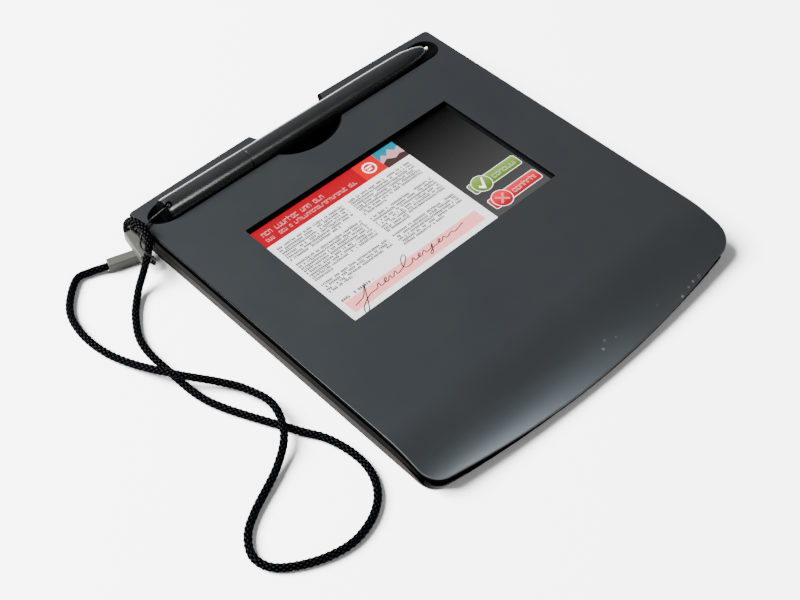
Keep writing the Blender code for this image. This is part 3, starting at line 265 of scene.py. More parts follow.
braid_black, tree, shader = new_finish("braid_black", (0.012, 0.012, 0.014), 0.6)
along = add_node(tree, "UVMap", uv_map="cord").outputs["UV"]
parts = parts_of(tree, along)
round_it = maths(tree, "COSINE", maths(tree, "MULTIPLY", parts["X"], 2 * math.pi * BRAID_PLAITS))
down_it = maths(tree, "COSINE", maths(tree, "MULTIPLY", parts["Y"], math.pi / BRAID_ROW_MM))
crown = ramp(tree, maths(tree, "MULTIPLY", round_it, down_it), -0.2, 1.0)
lean = maths(tree, "MULTIPLY", parts["X"], BRAID_PLAITS * 8 * math.pi)
yarn = maths(tree, "SINE", maths(tree, "ADD", lean, maths(tree, "MULTIPLY", parts["Y"], 24)))
fuzz = noise(tree, along, 5.0, 3.0)
worn = ramp(tree, fuzz, 0.3, 0.7, 0.5, 1.0)
# The crowns of the plaits get a painted sheen in the base colour.
sheen = maths(tree, "MULTIPLY", maths(tree, "POWER", crown, 2.2), worn)
feed(shader, "Base Color", tinted(tree, sheen, (0.0001, 0.0001, 0.0002), (0.0030, 0.0036, 0.0046)))
feed(shader, "Roughness", ramp(tree, crown, 0, 1, 0.9, 0.5))
raised(shader, maths(tree, "ADD", maths(tree, "MULTIPLY", yarn, 0.5), fuzz), 0.00004)
feed(shader, "Specular IOR Level", ramp(tree, crown, 0.3, 1, 0.0, 0.10))

cord_line = smooth_line(CORD_ROUTE_MM, CORD_STEP)
cord = cord_tube("braided_cord", cord_line, CORD_RADIUS - BRAID_SINK, 24, braid)
wear(cord, braid_black)
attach(cord, "pad")
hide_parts("tether_cord")

# Floor and lights
# A plain pale floor in a white studio tent. A wide soft light stands over the back, a small one draws
# the sheen along the cover's bend, and a faint one over the front softens the shadows.
bpy.ops.object.select_all(action="DESELECT")
bpy.ops.mesh.primitive_plane_add(size=8)
floor = bpy.context.object
floor.name = "studio_floor"
pale, tree, shader = new_finish("pale_floor", (0.92, 0.92, 0.92), 0.6)
paper = noise(tree, own_place(tree), 900.0)
feed(shader, "Base Color", tinted(tree, paper, (0.90, 0.90, 0.90), (0.94, 0.94, 0.94)))
shader.inputs["Specular IOR Level"].default_value = 0.1
wear(floor, pale)

tent = bpy.data.worlds.new("studio_tent")
scene.world = tent
tent.use_nodes = True
glow = tent.node_tree.nodes["Background"]
glow.inputs["Color"].default_value = (0.97, 0.985, 1.0, 1.0)
glow.inputs["Strength"].default_value = 0.16


def soft_light(name, place, aim, size, power):
    """A square soft light at a place, turned towards a point."""
    bpy.ops.object.light_add(type="AREA", location=place)
    light = bpy.context.object
    light.name = name
    light.data.shape = "SQUARE"
    light.data.size = size
    light.data.energy = power
    light.rotation_euler = (Vector(aim) - Vector(place)).to_track_quat("-Z", "Y").to_euler()
    return light


soft_light("key_light", (-1.30, 1.60, 2.00), (0, 0, 0), 1.7, 900)
sheen_light = soft_light("bend_light", (0.13, -0.57, 0.55), (0, -0.06, 0), 0.24, 9.5)
sheen_light.visible_diffuse = False
fill_light = soft_light("front_fill", (0.60, -2.00, 1.50), (0, 0, 0), 1.6, 20)
fill_light.visible_glossy = False

# Bottom case
# A moulded tray in a warmer, lighter gray than the cover, with a finely sparked skin. Six screws go
# up through its bosses into the cover's posts, and its outer edges are slightly rounded.
def skin_group():
    """The skin of a moulding: a fine grain, a broad mottle and a few rubbed specks."""
    group = bpy.data.node_groups.new("moulded_skin", "ShaderNodeTree")
    for name, value in (("Grain", 6000.0), ("Mottle", 60.0), ("Speck Share", 0.1)):
        group.interface.new_socket(name, in_out="INPUT", socket_type="NodeSocketFloat").default_value = value
    for name in ("Height", "Mottle", "Rubbed"):
        group.interface.new_socket(name, in_out="OUTPUT", socket_type="NodeSocketFloat")
    inside = group.nodes.new("NodeGroupInput")
    outside = group.nodes.new("NodeGroupOutput")
    place = own_place(group)
    broad = noise(group, place, inside.outputs["Mottle"], 4.0)
    cells = add_node(group, "TexVoronoi", {"Vector": place, "Scale": 500.0})
    picked = parts_of(group, cells.outputs["Color"])["X"]
    chosen = maths(group, "LESS_THAN", picked, inside.outputs["Speck Share"])
    near = ramp(group, cells.outputs["Distance"], 0.30, 0.10)
    rubbed = maths(group, "MULTIPLY", near, chosen, ramp(group, broad, 0.50, 0.62))
    group.links.new(noise(group, place, inside.outputs["Grain"]), outside.inputs["Height"])
    group.links.new(ramp(group, broad, 0.3, 0.7), outside.inputs["Mottle"])
    group.links.new(rubbed, outside.inputs["Rubbed"])
    return group


moulded_skin = skin_group()


def moulded(name, dark, light, rubbed, roughness, grain=6000.0, depth=0.000012, share=0.1, gloss=0.5):
    """A moulded plastic: its colour, sheen and relief come from the skin."""
    made, tree, shader = new_finish(name, light, sum(roughness) / 2)
    skin = add_node(tree, "Group", node_tree=moulded_skin)
    skin.inputs["Grain"].default_value = grain
    skin.inputs["Speck Share"].default_value = share
    base = tinted(tree, skin.outputs["Mottle"], dark, light)
    feed(shader, "Base Color", tinted(tree, skin.outputs["Rubbed"], base, rubbed))
    feed(shader, "Roughness", ramp(tree, skin.outputs["Mottle"], 0, 1, *roughness))
    raised(shader, skin.outputs["Height"], depth)
    shader.inputs["Specular IOR Level"].default_value = gloss
    return made


def take_up(*pieces):
    """Selects pieces and no others, with the first as the active one."""
    bpy.ops.object.select_all(action="DESELECT")
    for piece in pieces:
        piece.select_set(True)
    bpy.context.view_layer.objects.active = pieces[0]


def own_copy(node, name):
    """A piece made from a copy of a CAD node's mesh, with its loose triangles joined up again."""
    piece = bpy.data.objects.new(name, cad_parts[node].data.copy())
    scene.collection.objects.link(piece)
    take_up(piece)
    bpy.ops.mesh.customdata_custom_splitnormals_clear()
    bpy.ops.object.mode_set(mode="EDIT")
    bpy.ops.mesh.select_all(action="SELECT")
    bpy.ops.mesh.remove_doubles(threshold=0.000002)
    bpy.ops.mesh.dissolve_limited(angle_limit=math.radians(0.3))
    bpy.ops.object.mode_set(mode="OBJECT")
    return piece


def eased(piece, choose, offset):
    """Rounds the edges of a piece that choose picks by their ends and their two faces."""
    take_up(piece)
    bpy.ops.object.mode_set(mode="EDIT")
    bpy.ops.mesh.select_mode(type="EDGE")
    bpy.ops.mesh.select_all(action="DESELECT")
    shape = bmesh.from_edit_mesh(piece.data)
    for edge in shape.edges:
        if len(edge.link_faces) == 2 and choose(edge, *(face.normal for face in edge.link_faces)):
            edge.select = True
    bmesh.update_edit_mesh(piece.data)
    bpy.ops.mesh.bevel(offset=offset, segments=3, affect="EDGES", clamp_overlap=True)
    bpy.ops.mesh.select_mode(type="VERT")
    bpy.ops.object.mode_set(mode="OBJECT")
    return piece


def smoothed(piece, degrees=30):
    """Smooth shading up to an angle, where flat faces keep their own normals."""
    take_up(piece)
    bpy.ops.object.shade_smooth_by_angle(angle=math.radians(degrees))
    modifier = piece.modifiers.new("flat_faces_first", "WEIGHTED_NORMAL")
    modifier.keep_sharp = True
    bpy.ops.object.modifier_apply(modifier=modifier.name)
    return piece


INNER_SIDE, INNER_FRONT, INNER_BACK = 0.0764, -0.0730, 0.0835
LEVEL_WITHIN = 0.0015
CASE_EASE, CASE_SHADED_FROM = 0.00035, 0.0043


def outermost(point):
    """True on the pad's outer walls, false inside the mouldings."""
    return abs(point.x) > INNER_SIDE or not INNER_FRONT <= point.y <= INNER_BACK


def outer_edge(edge, first, second):
    """An edge between an outer wall and a face that looks up or down."""
    if not all(outermost(vert.co) for vert in edge.verts):
        return False
    flat, wall = sorted((first, second), key=lambda normal: -abs(normal.z))
    rise = abs(edge.verts[0].co.z - edge.verts[1].co.z)
    return abs(flat.z) > 0.8 and abs(wall.z) < 0.2 and rise < LEVEL_WITHIN


def blackened(piece, choose):
    """Gives the faces that choose picks, by their centre and normal, a near black of painted shade."""
    piece.data.materials.append(painted_shade_black)
    for face in piece.data.polygons:
        if choose(*face.center, abs(face.normal.z)):
            face.material_index = len(piece.data.materials) - 1


# A near black that paints shade onto faces in gaps, recesses and shadowed sides.
painted_shade_black = moulded(
    "painted_shade_black", (0.001, 0.001, 0.0011), (0.0015, 0.0015, 0.0016), (0.003, 0.003, 0.003), (0.8, 0.9), gloss=0
)
case_gray = moulded(
    "case_gray",
    (0.0120, 0.0115, 0.0107),
    (0.0140, 0.0134, 0.0125),
    (0.022, 0.022, 0.020),
    (0.48, 0.60),
    gloss=0.01,
)
tray = own_copy("bottom_case", "case_tray")
eased(tray, outer_edge, CASE_EASE)
smoothed(tray)
wear(tray, case_gray)
# The tray's top edge under the parting line is painted near black as shade in the gap.
blackened(tray, lambda x, y, z, tilt: z > CASE_SHADED_FROM)
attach(tray, "pad")
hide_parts("bottom_case")

# Boards and their parts
# The main board on the case's bosses and the wide sensor board under the display are green laminate
# with copper tracks under the varnish. Chips, connectors and ribbons are soldered or pushed on.
def laminate(name, dark, light, track_scale):
    """Varnished board with copper tracks and tinned pads."""
    made, tree, shader = new_finish(name, light, 0.4)
    place = own_place(tree)
    tracks = add_node(
        tree,
        "TexBrick",
        {"Vector": place, "Scale": track_scale, "Mortar Size": 0.06, "Mortar Smooth": 0.1, "Bias": 0.0},
        offset=0.35,
        squash=1.7,
    )
    pads = add_node(tree, "TexVoronoi", {"Vector": place, "Scale": track_scale * 0.8, "Randomness": 0.55})
    dots = ramp(tree, pads.outputs["Distance"], 0.16, 0.12)
    base = tinted(tree, noise(tree, place, 300.0), dark, light)
    base = tinted(tree, ramp(tree, tracks.outputs["Fac"], 0, 1, 0, 0.6), base, (0.10, 0.30, 0.12))
    feed(shader, "Base Color", tinted(tree, dots, base, (0.55, 0.50, 0.36)))
    feed(shader, "Roughness", ramp(tree, dots, 0, 1, 0.42, 0.25))
    feed(shader, "Metallic", ramp(tree, dots, 0, 1, 0.0, 0.8))
    raised(shader, maths(tree, "ADD", tracks.outputs["Fac"], dots), 0.00002)
    return made


def brushed(name, dark, light, roughness, stretch):
    """Rolled or turned metal, with fine lines one way."""
    made, tree, shader = new_finish(name, light, roughness, 1.0)
    drawn = add_node(tree, "Mapping", {"Vector": own_place(tree), "Scale": stretch}).outputs["Vector"]
    lines = noise(tree, drawn, 1.0, 3.0)
    feed(shader, "Base Color", tinted(tree, lines, dark, light))
    feed(shader, "Roughness", ramp(tree, lines, 0.3, 0.7, roughness - 0.08, roughness + 0.1))
    raised(shader, lines, 0.000006)
    return made


def dress(finish, *nodes):
    """Gives CAD nodes, which keep their own mesh, a finish."""
    for node in nodes:
        wear(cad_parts[node], finish)


board_green = laminate("board_green", (0.012, 0.10, 0.035), (0.02, 0.16, 0.06), 420.0)
dress(board_green, "main_board", "sensor_board", "pen_circuit_board")
shield_steel = brushed("shield_steel", (0.50, 0.51, 0.52), (0.66, 0.67, 0.68), 0.32, (40, 4000, 40))
dress(shield_steel, "shield_plate")
chip_black = moulded(
    "chip_black", (0.010, 0.010, 0.011), (0.022, 0.022, 0.024), (0.10, 0.10, 0.10), (0.45, 0.6), 9000.0
)
dress(chip_black, "main_chip", "memory_chip")
contact_cream = moulded(
    "contact_cream", (0.50, 0.46, 0.36), (0.62, 0.58, 0.47), (0.70, 0.66, 0.55), (0.4, 0.5)
)
dress(contact_cream, "display_connector", "sensor_connector")


def banded(name, dark, light, scale, roughness, depth, metallic=0.0):
    """Wires or windings side by side along X."""
    made, tree, shader = new_finish(name, light, sum(roughness) / 2, metallic)
    waves = add_node(tree, "TexWave", {"Vector": own_place(tree), "Scale": scale}, bands_direction="X")
    wires = waves.outputs["Fac"]
    feed(shader, "Base Color", tinted(tree, wires, dark, light))
    feed(shader, "Roughness", ramp(tree, wires, 0, 1, *roughness))
    raised(shader, wires, depth)
    return made


ribbon_amber = banded("ribbon_amber", (0.30, 0.11, 0.02), (0.60, 0.30, 0.08), 380.0, (0.45, 0.28), 0.00003)
dress(ribbon_amber, "display_ribbon", "sensor_ribbon")

screw_steel = brushed("screw_steel", (0.30, 0.30, 0.31), (0.46, 0.46, 0.47), 0.34, (3000, 3000, 300))
dress(screw_steel, "board_screw_1", "board_screw_2", "tether_anchor_pin")
socket_steel = brushed("socket_steel", (0.52, 0.52, 0.53), (0.70, 0.70, 0.71), 0.28, (300, 3500, 300))
dress(socket_steel, "data_socket")

# Display
# A liquid crystal panel on its light guide, under a clear cover that lies in a foam gasket. The
# picture is thin lit shapes in the gap between panel and cover, each a layer on the one before.
light_guide, tree, shader = new_finish("light_guide", (0.85, 0.86, 0.84), 0.3)
dots = add_node(tree, "TexVoronoi", {"Vector": own_place(tree), "Scale": 900.0, "Randomness": 0.0})
spots = ramp(tree, dots.outputs["Distance"], 0.30, 0.20)
feed(shader, "Base Color", tinted(tree, spots, (0.80, 0.82, 0.80), (0.97, 0.97, 0.95)))
feed(shader, "Roughness", ramp(tree, spots, 0, 1, 0.25, 0.6))
dress(light_guide, "backlight_unit")

gasket_gray = moulded(
    "gasket_gray",
    (0.0022, 0.0023, 0.0027),
    (0.0030, 0.0031, 0.0035),
    (0.004, 0.004, 0.004),
    (0.75, 0.9),
    2500.0,
    0.00005,
    gloss=0.0,
)
dress(gasket_gray, "glass_gasket")

clear_cover, tree, shader = new_finish("clear_cover", (0.004, 0.004, 0.005), 0.16)
haze = noise(tree, own_place(tree), 90.0, 3.0)
feed(shader, "Roughness", ramp(tree, haze, 0.3, 0.7, 0.13, 0.22))
feed(shader, "Alpha", ramp(tree, haze, 0.3, 0.7, 0.035, 0.045))
dress(clear_cover, "display_glass")

PANEL_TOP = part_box("lcd_panel")[1][2]
LAYER = 0.000022
SCREEN_GLOW = 3.0
LETTER_LEFT, LETTER_RIGHT, LETTER_TALL = 0.06, 0.86, 0.70


def letter_group():
    """Rows of made-up letters that spell nothing: each is a chance choice of stems and bars."""
    group = bpy.data.node_groups.new("filler_letters", "ShaderNodeTree")
    group.interface.new_socket("Ink", in_out="OUTPUT", socket_type="NodeSocketFloat")
    group.interface.new_socket("Weight", in_out="INPUT", socket_type="NodeSocketFloat").default_value = 0.2
    inside = group.nodes.new("NodeGroupInput")
    outside = group.nodes.new("NodeGroupOutput")
    parts = parts_of(group, add_node(group, "UVMap", uv_map="print").outputs["UV"])
    across, letter = maths(group, "FRACT", parts["X"]), maths(group, "FLOOR", parts["X"])
    up = parts["Y"]
    chance = add_node(group, "TexWhiteNoise", {"W": letter}, noise_dimensions="1D")
    picks = parts_of(group, chance.outputs["Color"])

    def both(first, second):
        return maths(group, "MULTIPLY", first, second)

    def above(value, limit):
        return maths(group, "GREATER_THAN", value, limit)

    def below(value, limit):
        return maths(group, "LESS_THAN", value, limit)

    def between(value, low, high):
        return both(above(value, low), below(value, high))

    ascends = ramp(group, above(picks["X"], 0.74), 0, 1, LETTER_TALL, 1.0)
    left_end = maths(group, "ADD", inside.outputs["Weight"], LETTER_LEFT)
    right_start = maths(group, "SUBTRACT", LETTER_RIGHT, inside.outputs["Weight"])
    stout = maths(group, "MULTIPLY", inside.outputs["Weight"], 0.5)
    wide = between(across, LETTER_LEFT, LETTER_RIGHT)
    top_bar = both(wide, between(up, maths(group, "SUBTRACT", 0.62, stout), LETTER_TALL))
    low_bar = both(wide, below(up, maths(group, "ADD", stout, 0.08)))
    right_stem = both(between(across, right_start, LETTER_RIGHT), below(up, LETTER_TALL))
    ink = both(between(across, LETTER_LEFT, left_end), below(up, ascends))
    for part, chosen in (
        (right_stem, above(picks["Y"], 0.3)),
        (top_bar, above(picks["Z"], 0.3)),
        (low_bar, below(picks["Z"], 0.65)),
    ):
        ink = maths(group, "MAXIMUM", ink, both(part, chosen))
    word = below(chance.outputs["Value"], 0.84)
    group.links.new(both(ink, word), outside.inputs["Ink"])
    return group


filler_letters = letter_group()


def lit(name, colour, dim=None, ink=None, weight=0.2):
    """A lit colour of the display. dim gives (x or y, start, end, colour) of a slow change in it, and
    ink the colour of the letters on it."""
    made, tree, shader = new_finish(name, tuple(0.05 * part for part in colour), 0.5)
    place = own_place(tree)
    if dim:
        axis, start, end, other = dim
        shade = tinted(tree, ramp(tree, parts_of(tree, place)[axis], start, end), colour, other)
    else:
        pixels = noise(tree, place, 5000.0)
        shade = tinted(tree, ramp(tree, pixels, 0.3, 0.7, 0.0, 0.06), colour, (0.0, 0.0, 0.0))
    if ink:
        letters = add_node(tree, "Group", node_tree=filler_letters)
        letters.inputs["Weight"].default_value = weight
        shade = tinted(tree, letters.outputs["Ink"], shade, ink)
    feed(shader, "Emission Color", shade)
    shader.inputs["Specular IOR Level"].default_value = 0.0
    shader.inputs["Emission Strength"].default_value = SCREEN_GLOW
    return made


def stacked_form(name, levels, ring=False):
    """A form pulled up from outline to outline. levels holds each outline's height and points. A
    ring has no ends, and its last outline is its first again."""
    bpy.ops.object.select_all(action="DESELECT")
    height, points = levels[0]
    bpy.ops.mesh.primitive_circle_add(vertices=len(points), fill_type="NOTHING" if ring else "NGON")
    form = bpy.context.object
    form.name = form.data.name = name
    for vert, (x, y) in zip(form.data.vertices, points):
        vert.co = (x, y, height)
    bpy.ops.object.mode_set(mode="EDIT")
    bpy.ops.mesh.select_all(action="SELECT")
    for height, following in levels[1:]:
        bpy.ops.mesh.extrude_region_move()
        shape = bmesh.from_edit_mesh(form.data)
        order = kdtree.KDTree(len(points))
        for i, (x, y) in enumerate(points):
            order.insert((x, y, 0), i)
        order.balance()
        for vert in shape.verts:
            if vert.select:
                x, y = following[order.find((vert.co.x, vert.co.y, 0))[1]]
                vert.co = (x, y, height)
        bmesh.update_edit_mesh(form.data)
        points = following
    bpy.ops.mesh.select_all(action="SELECT")
    if ring:
        bpy.ops.mesh.remove_doubles(threshold=0.000001)
    bpy.ops.mesh.normals_make_consistent(inside=False)
    bpy.ops.object.mode_set(mode="OBJECT")
    return form


def rounded_block(x_range, y_range, radius, steps=6):
    """Outline of a rectangle with rounded corners."""
    points = []
    for right, back, quarter in ((1, 0, 3), (1, 1, 0), (0, 1, 1), (0, 0, 2)):
        x = x_range[right] + radius * (1 - 2 * right)
        y = y_range[back] + radius * (1 - 2 * back)
        for step in range(steps + 1):
            angle = (quarter + step / steps) * math.pi / 2
            points.append((x + radius * math.cos(angle), y + radius * math.sin(angle)))
    return points


def disc(x, y, radius, sides=40):
    """Outline of a circle."""
    turns = [2 * math.pi * i / sides for i in range(sides)]
    return [(x + radius * math.cos(angle), y + radius * math.sin(angle)) for angle in turns]


def shown(name, outlines_mm, layer, finish):
    """A flat piece of the display's picture: its outlines, in millimetres, on one layer."""
    pieces = []
    bottom = PANEL_TOP + LAYER * (layer + 0.2)
    for i, points in enumerate(outlines_mm):
        metres = [(x * MM, y * MM) for x, y in points]
        pieces.append(stacked_form(f"{name}_{i}", [(bottom, metres), (bottom + 0.6 * LAYER, metres)]))
    take_up(*pieces)
    if len(pieces) > 1:
        bpy.ops.object.join()
    picture = bpy.context.object
    picture.name = name
    wear(picture, finish)
    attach(picture, "pad")
    return picture


def block(x_low, x_high, y_low, y_high, radius=0.02):
    """Outline of a block of the picture, in millimetres."""
    return rounded_block((x_low, x_high), (y_low, y_high), radius, 2)


def printed(name, rows_mm, tall, pitch, layer, finish):
    """Rows of letters, each (left, right, base) in millimetres: their height, and their pitch along
    the row, go into the print's own map."""
    piece = shown(name, [block(*row, row[2] + tall) for row in rows_mm], layer, finish)
    marks = piece.data.uv_layers.new(name="print")

    def misfit(row, x, y):
        """How far a place is from a row, with the rows of another column put last."""
        left, right, base = rows_mm[row]
        return abs(base + tall / 2 - y) + (0 if left - 0.1 < x < right + 0.1 else 9)

    for face in piece.data.polygons:
        x, y = face.center.x / MM, face.center.y / MM
        row = min(range(len(rows_mm)), key=lambda row: misfit(row, x, y))
        left, right, base = rows_mm[row]
        for corner in face.loop_indices:
            spot = piece.data.vertices[piece.data.loops[corner].vertex_index].co / MM
            letter = (spot.x - left) / pitch + 57 * row + len(name) * 131
            marks.data[corner].uv = (letter, (spot.y - base) / tall)


PAGE = (0.72, 0.72, 0.725)
RED = (0.27, 0.0, 0.008)
BADGE_RED = (0.45, 0.0, 0.004)
PAGE_LEFT, PAGE_RIGHT = -52.7, 22.2
PAGE_BOTTOM, HEADER_BOTTOM, PICTURE_TOP = -14.6, 36.6, 47.5
BADGE_LEFT, BADGE_RIGHT = 0.35, 11.1
BADGE_MIDDLE = (5.7, 41.6)
panel_dark = lit("panel_dark", (0.0012, 0.0012, 0.0012), ("Y", 0.046, -0.012, (0.040, 0.040, 0.0405)))
dress(panel_dark, "lcd_panel")
page = block(PAGE_LEFT, PAGE_RIGHT, PAGE_BOTTOM, PICTURE_TOP)
header = block(PAGE_LEFT, PAGE_RIGHT, HEADER_BOTTOM, PICTURE_TOP)
badge = block(BADGE_LEFT, BADGE_RIGHT, HEADER_BOTTOM, PICTURE_TOP)
shown("screen_page", [page], 0, lit("page_white", PAGE))
shown("screen_header", [header], 1, lit("header_red", RED))
shown("screen_badge", [badge], 2, lit("badge_red", BADGE_RED))
mark_white = lit("mark_white", (0.85, 0.84, 0.84))
shown("screen_badge_ring", [disc(*BADGE_MIDDLE, 3.0)], 3, mark_white)
shown("screen_badge_middle", [disc(*BADGE_MIDDLE, 2.3)], 4, lit("badge_middle", BADGE_RED))
shown("screen_badge_bars", [block(4.2, 7.2, 41.9, 42.6), block(4.2, 6.4, 40.5, 41.2)], 5, mark_white)
sky = block(BADGE_RIGHT, PAGE_RIGHT, 36.2, PICTURE_TOP)
shown("screen_sky", [sky], 2, lit("sky_blue", (0.0, 0.145, 0.205)))
far_ridge = [(11.12, 41.0), (13.5, 43.6), (15.2, 42.0), (17.6, 44.6), (19.6, 42.3), (22.18, 43.5)]
far = [(11.12, 38.5), *far_ridge, (22.18, 38.5)]
shown("screen_far_hills", [far], 3, lit("far_pink", (0.40, 0.21, 0.24)))
near_ridge = [(11.12, 39.4), (14.0, 40.6), (17.2, 38.6), (20.0, 39.6), (22.18, 38.8)]
near = [(11.12, 36.25), *near_ridge, (22.18, 36.25)]
shown("screen_near_hills", [near], 4, lit("near_brown", (0.035, 0.020, 0.016)))
header_print = lit("header_print", RED, ink=(0.44, 0.22, 0.22), weight=0.13)
printed("screen_title", [(-47.8, -17.6, 41.6)], 3.0, 1.6, 2, header_print)
printed("screen_subtitle", [(-48.2, -3.2, 38.6)], 2.4, 1.25, 2, header_print)
COLUMNS_MM = (
    (-48.2, -15.8, ((34.1, 6, 0.78), (23.3, 8, 0.27), (9.4, 4, 0.38))),
    (-12.8, 18.9, ((33.9, 7, 0.36), (21.5, 7, 0.37), (9.3, 5, 0.66))),
)
LINE_PITCH_MM = 1.5
lines = []
for left, right, paragraphs in COLUMNS_MM:
    for top, count, last in paragraphs:
        for row in range(count):
            end = right if row < count - 1 else left + last * (right - left)
            lines.append((left, end, top - 1.2 - LINE_PITCH_MM * row))
page_print = lit("page_print", PAGE, ink=(0.001, 0.001, 0.0012), weight=0.47)
printed("screen_print", lines, 1.5, 0.8, 1, page_print)
prompt_print = lit("prompt_print", PAGE, ink=(0.06, 0.0, 0.006), weight=0.47)
printed("screen_prompt", [(-47.9, -32.6, -2.6)], 1.8, 1.0, 1, prompt_print)
shown("screen_sign_field", [block(-47.8, 18.4, -9.3, -3.2)], 1, lit("field_pink", (0.80, 0.29, 0.29)))

LOOP = ((0.0, 0.0), (0.42, 0.22), (0.74, 0.70), (0.62, 1.0), (0.36, 0.74), (0.34, 0.22), (0.60, -0.04))
WAVE = ((0.0, 0.0), (0.22, 0.75), (0.40, 1.0), (0.52, 0.55), (0.60, 0.06), (0.78, -0.04))
DIP = ((0, 0), (0.30, 0.2), (0.50, 0.9), (0.44, 0.2), (0.30, -0.9), (0.10, -1), (0.14, -0.5), (0.60, 0))
FLOURISH = (
    (DIP, 9.0, 5.4),
    (WAVE, 3.2, 1.7),
    (LOOP, 2.6, 1.9),
    (WAVE, 2.6, 1.4),
    (WAVE, 3.0, 1.6),
    (LOOP, 6.4, 5.4),
    (WAVE, 2.8, 1.5),
    (LOOP, 2.4, 1.6),
    (WAVE, 3.4, 1.3),
    (DIP, 4.6, 2.0),
    (LOOP, 2.4, 1.5),
    (WAVE, 3.4, 1.1),
    (WAVE, 5.0, 0.7),
)
signed_mm = [(-45.6, -7.0, 0.0)]
start = -43.6
for form, wide, tall in FLOURISH:
    for across, up in form:
        base = -6.6 + 0.02 * (start + 43)
        signed_mm.append((start + across * wide + 0.45 * up * tall, base + up * tall, 0.0))
    start += wide
signed_mm.append((10.8, -4.6, 0.0))
signed = smooth_line(signed_mm, 0.00025)
stroke = cord_tube("screen_signature", signed, 0.00021, 6, lambda turn, reach: 0)
for vert in stroke.data.vertices:
    vert.co.z = PANEL_TOP + LAYER * 2.5 + vert.co.z * 0.05
wear(stroke, lit("ink_brown", (0.026, 0.019, 0.018)))
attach(stroke, "pad")

BALL_X = 30.8
for name, y, light, dark in (
    ("green_button", 4.87, (0.125, 0.22, 0.037), (0.050, 0.100, 0.010)),
    ("red_button", -6.07, (0.55, 0.013, 0.028), (0.20, 0.003, 0.010)),
):
    shade = ("Y", (y + 2.6) * MM, (y - 2.4) * MM, dark)
    face = lit(name + "_face", light, shade)
    ball = lit(name + "_disc", light, ("Y", (y + 3.0) * MM, (y - 3.0) * MM, dark))
    outer = rounded_block((24.95, 50.75), (y - 3.05, y + 3.05), 1.1)
    shown(f"screen_{name}_outline", [outer], 1, mark_white)
    shown(f"screen_{name}_bar", [rounded_block((25.2, 50.5), (y - 2.8, y + 2.8), 0.9)], 2, face)
    shown(f"screen_{name}_rim", [disc(BALL_X, y + 0.02, 4.42)], 3, mark_white)
    shown(f"screen_{name}_disc", [disc(BALL_X, y + 0.02, 4.17)], 4, ball)
    marked = lit(name + "_label", light, shade, (0.42, 0.40, 0.38), 0.08)
    printed(f"screen_{name}_label", [(36.4, 48.6, y - 1.3)], 2.7, 1.95, 3, marked)
tick = [(28.3, 3.9), (29.0, 4.7), (30.1, 3.7), (32.7, 7.7), (33.3, 7.5), (30.4, 1.9), (30.0, 1.9)]
shown("screen_tick", [tick], 5, mark_white)
cross = []
for i in range(4):
    turned = math.pi / 4 + i * math.pi / 2
    for reach, aside in ((2.9, -0.52), (2.9, 0.52), (0.52, 0.52)):
        x = BALL_X + reach * math.cos(turned) - aside * math.sin(turned)
        cross.append((x, -6.1 + reach * math.sin(turned) + aside * math.cos(turned)))
shown("screen_cross", [cross], 5, lit("cross_pale", (0.52, 0.13, 0.13)))

# Mid frame
# The middle moulding stands on the case. Its side band is set back under the cover by a narrow neck,
# which makes the gap all round, and its solid nose closes the front down to the table. Its colour
# holds painted shade: darker towards the front, and near black in the neck, on the nose and right of
# the left side. The lip at the front left corner gets a painted light.
Y_BEND, BEND_LENGTH, BEND_DROP = -0.05625, 0.0299, 0.0093
BAND_EASE = 0.00025
NECK_LOW, NECK_HIGH = 0.0078, 0.0081
FRONT_NECK_LOW, FRONT_NECK_HIGH = 0.0066, 0.0072
frame_gray_and_shade, tree, shader = new_finish("frame_gray_and_shade", (0.0012, 0.0012, 0.0012), 0.5)
skin = add_node(tree, "Group", node_tree=moulded_skin)
x_axis, y_axis, z_axis = parts_of(tree, own_place(tree))
bent = maths(tree, "MAXIMUM", maths(tree, "SUBTRACT", Y_BEND, y_axis), 0.0)
drop = maths(tree, "MULTIPLY", bent, bent, BEND_DROP / BEND_LENGTH**2)
unbent = maths(tree, "ADD", z_axis, drop)
# The band's colour darkens towards the front: painted shade.
base = tinted(tree, ramp(tree, y_axis, -0.07, 0.08), (0.0045, 0.0044, 0.0043), (0.0105, 0.0102, 0.0098))
base = tinted(tree, ramp(tree, skin.outputs["Mottle"], 0, 1, 0.0, 0.2), base, (0.0060, 0.0059, 0.0057))
# A painted light on the lip at the front left corner.
lip_light_left = ramp(tree, x_axis, -0.0600, -0.0700)
lip_light_inner = ramp(tree, x_axis, -0.0768, -0.0730)
corner = maths(tree, "MULTIPLY", ramp(tree, y_axis, -0.0730, -0.0790), lip_light_left, lip_light_inner)
base = tinted(tree, corner, base, (0.085, 0.081, 0.071))
# The neck, the nose's front and foot, and all of the frame right of its left side are painted near black as
# shade.
side_neck_shade = ramp(tree, unbent, NECK_LOW, NECK_HIGH)
nose = ramp(tree, y_axis, -0.0742, -0.0770)
front_neck_shade = maths(tree, "MULTIPLY", ramp(tree, unbent, FRONT_NECK_LOW, FRONT_NECK_HIGH), nose)
nose_foot_shade = maths(tree, "MULTIPLY", ramp(tree, z_axis, 0.0050, 0.0048), ramp(tree, y_axis, -0.0746, -0.0742))
gap_painted_shade = maths(tree, "MAXIMUM", side_neck_shade, front_neck_shade, nose_foot_shade, ramp(tree, x_axis, -0.0640, -0.0600))
feed(shader, "Base Color", tinted(tree, gap_painted_shade, base, (0.0002, 0.0002, 0.0002)))
feed(shader, "Roughness", ramp(tree, gap_painted_shade, 0, 1, 0.5, 0.9))
raised(shader, skin.outputs["Height"], 0.00001)
shader.inputs["Specular IOR Level"].default_value = 0.0
band = own_copy("mid_frame", "frame_band")
eased(band, outer_edge, BAND_EASE)
smoothed(band)
wear(band, frame_gray_and_shade)
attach(band, "pad")
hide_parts("mid_frame")

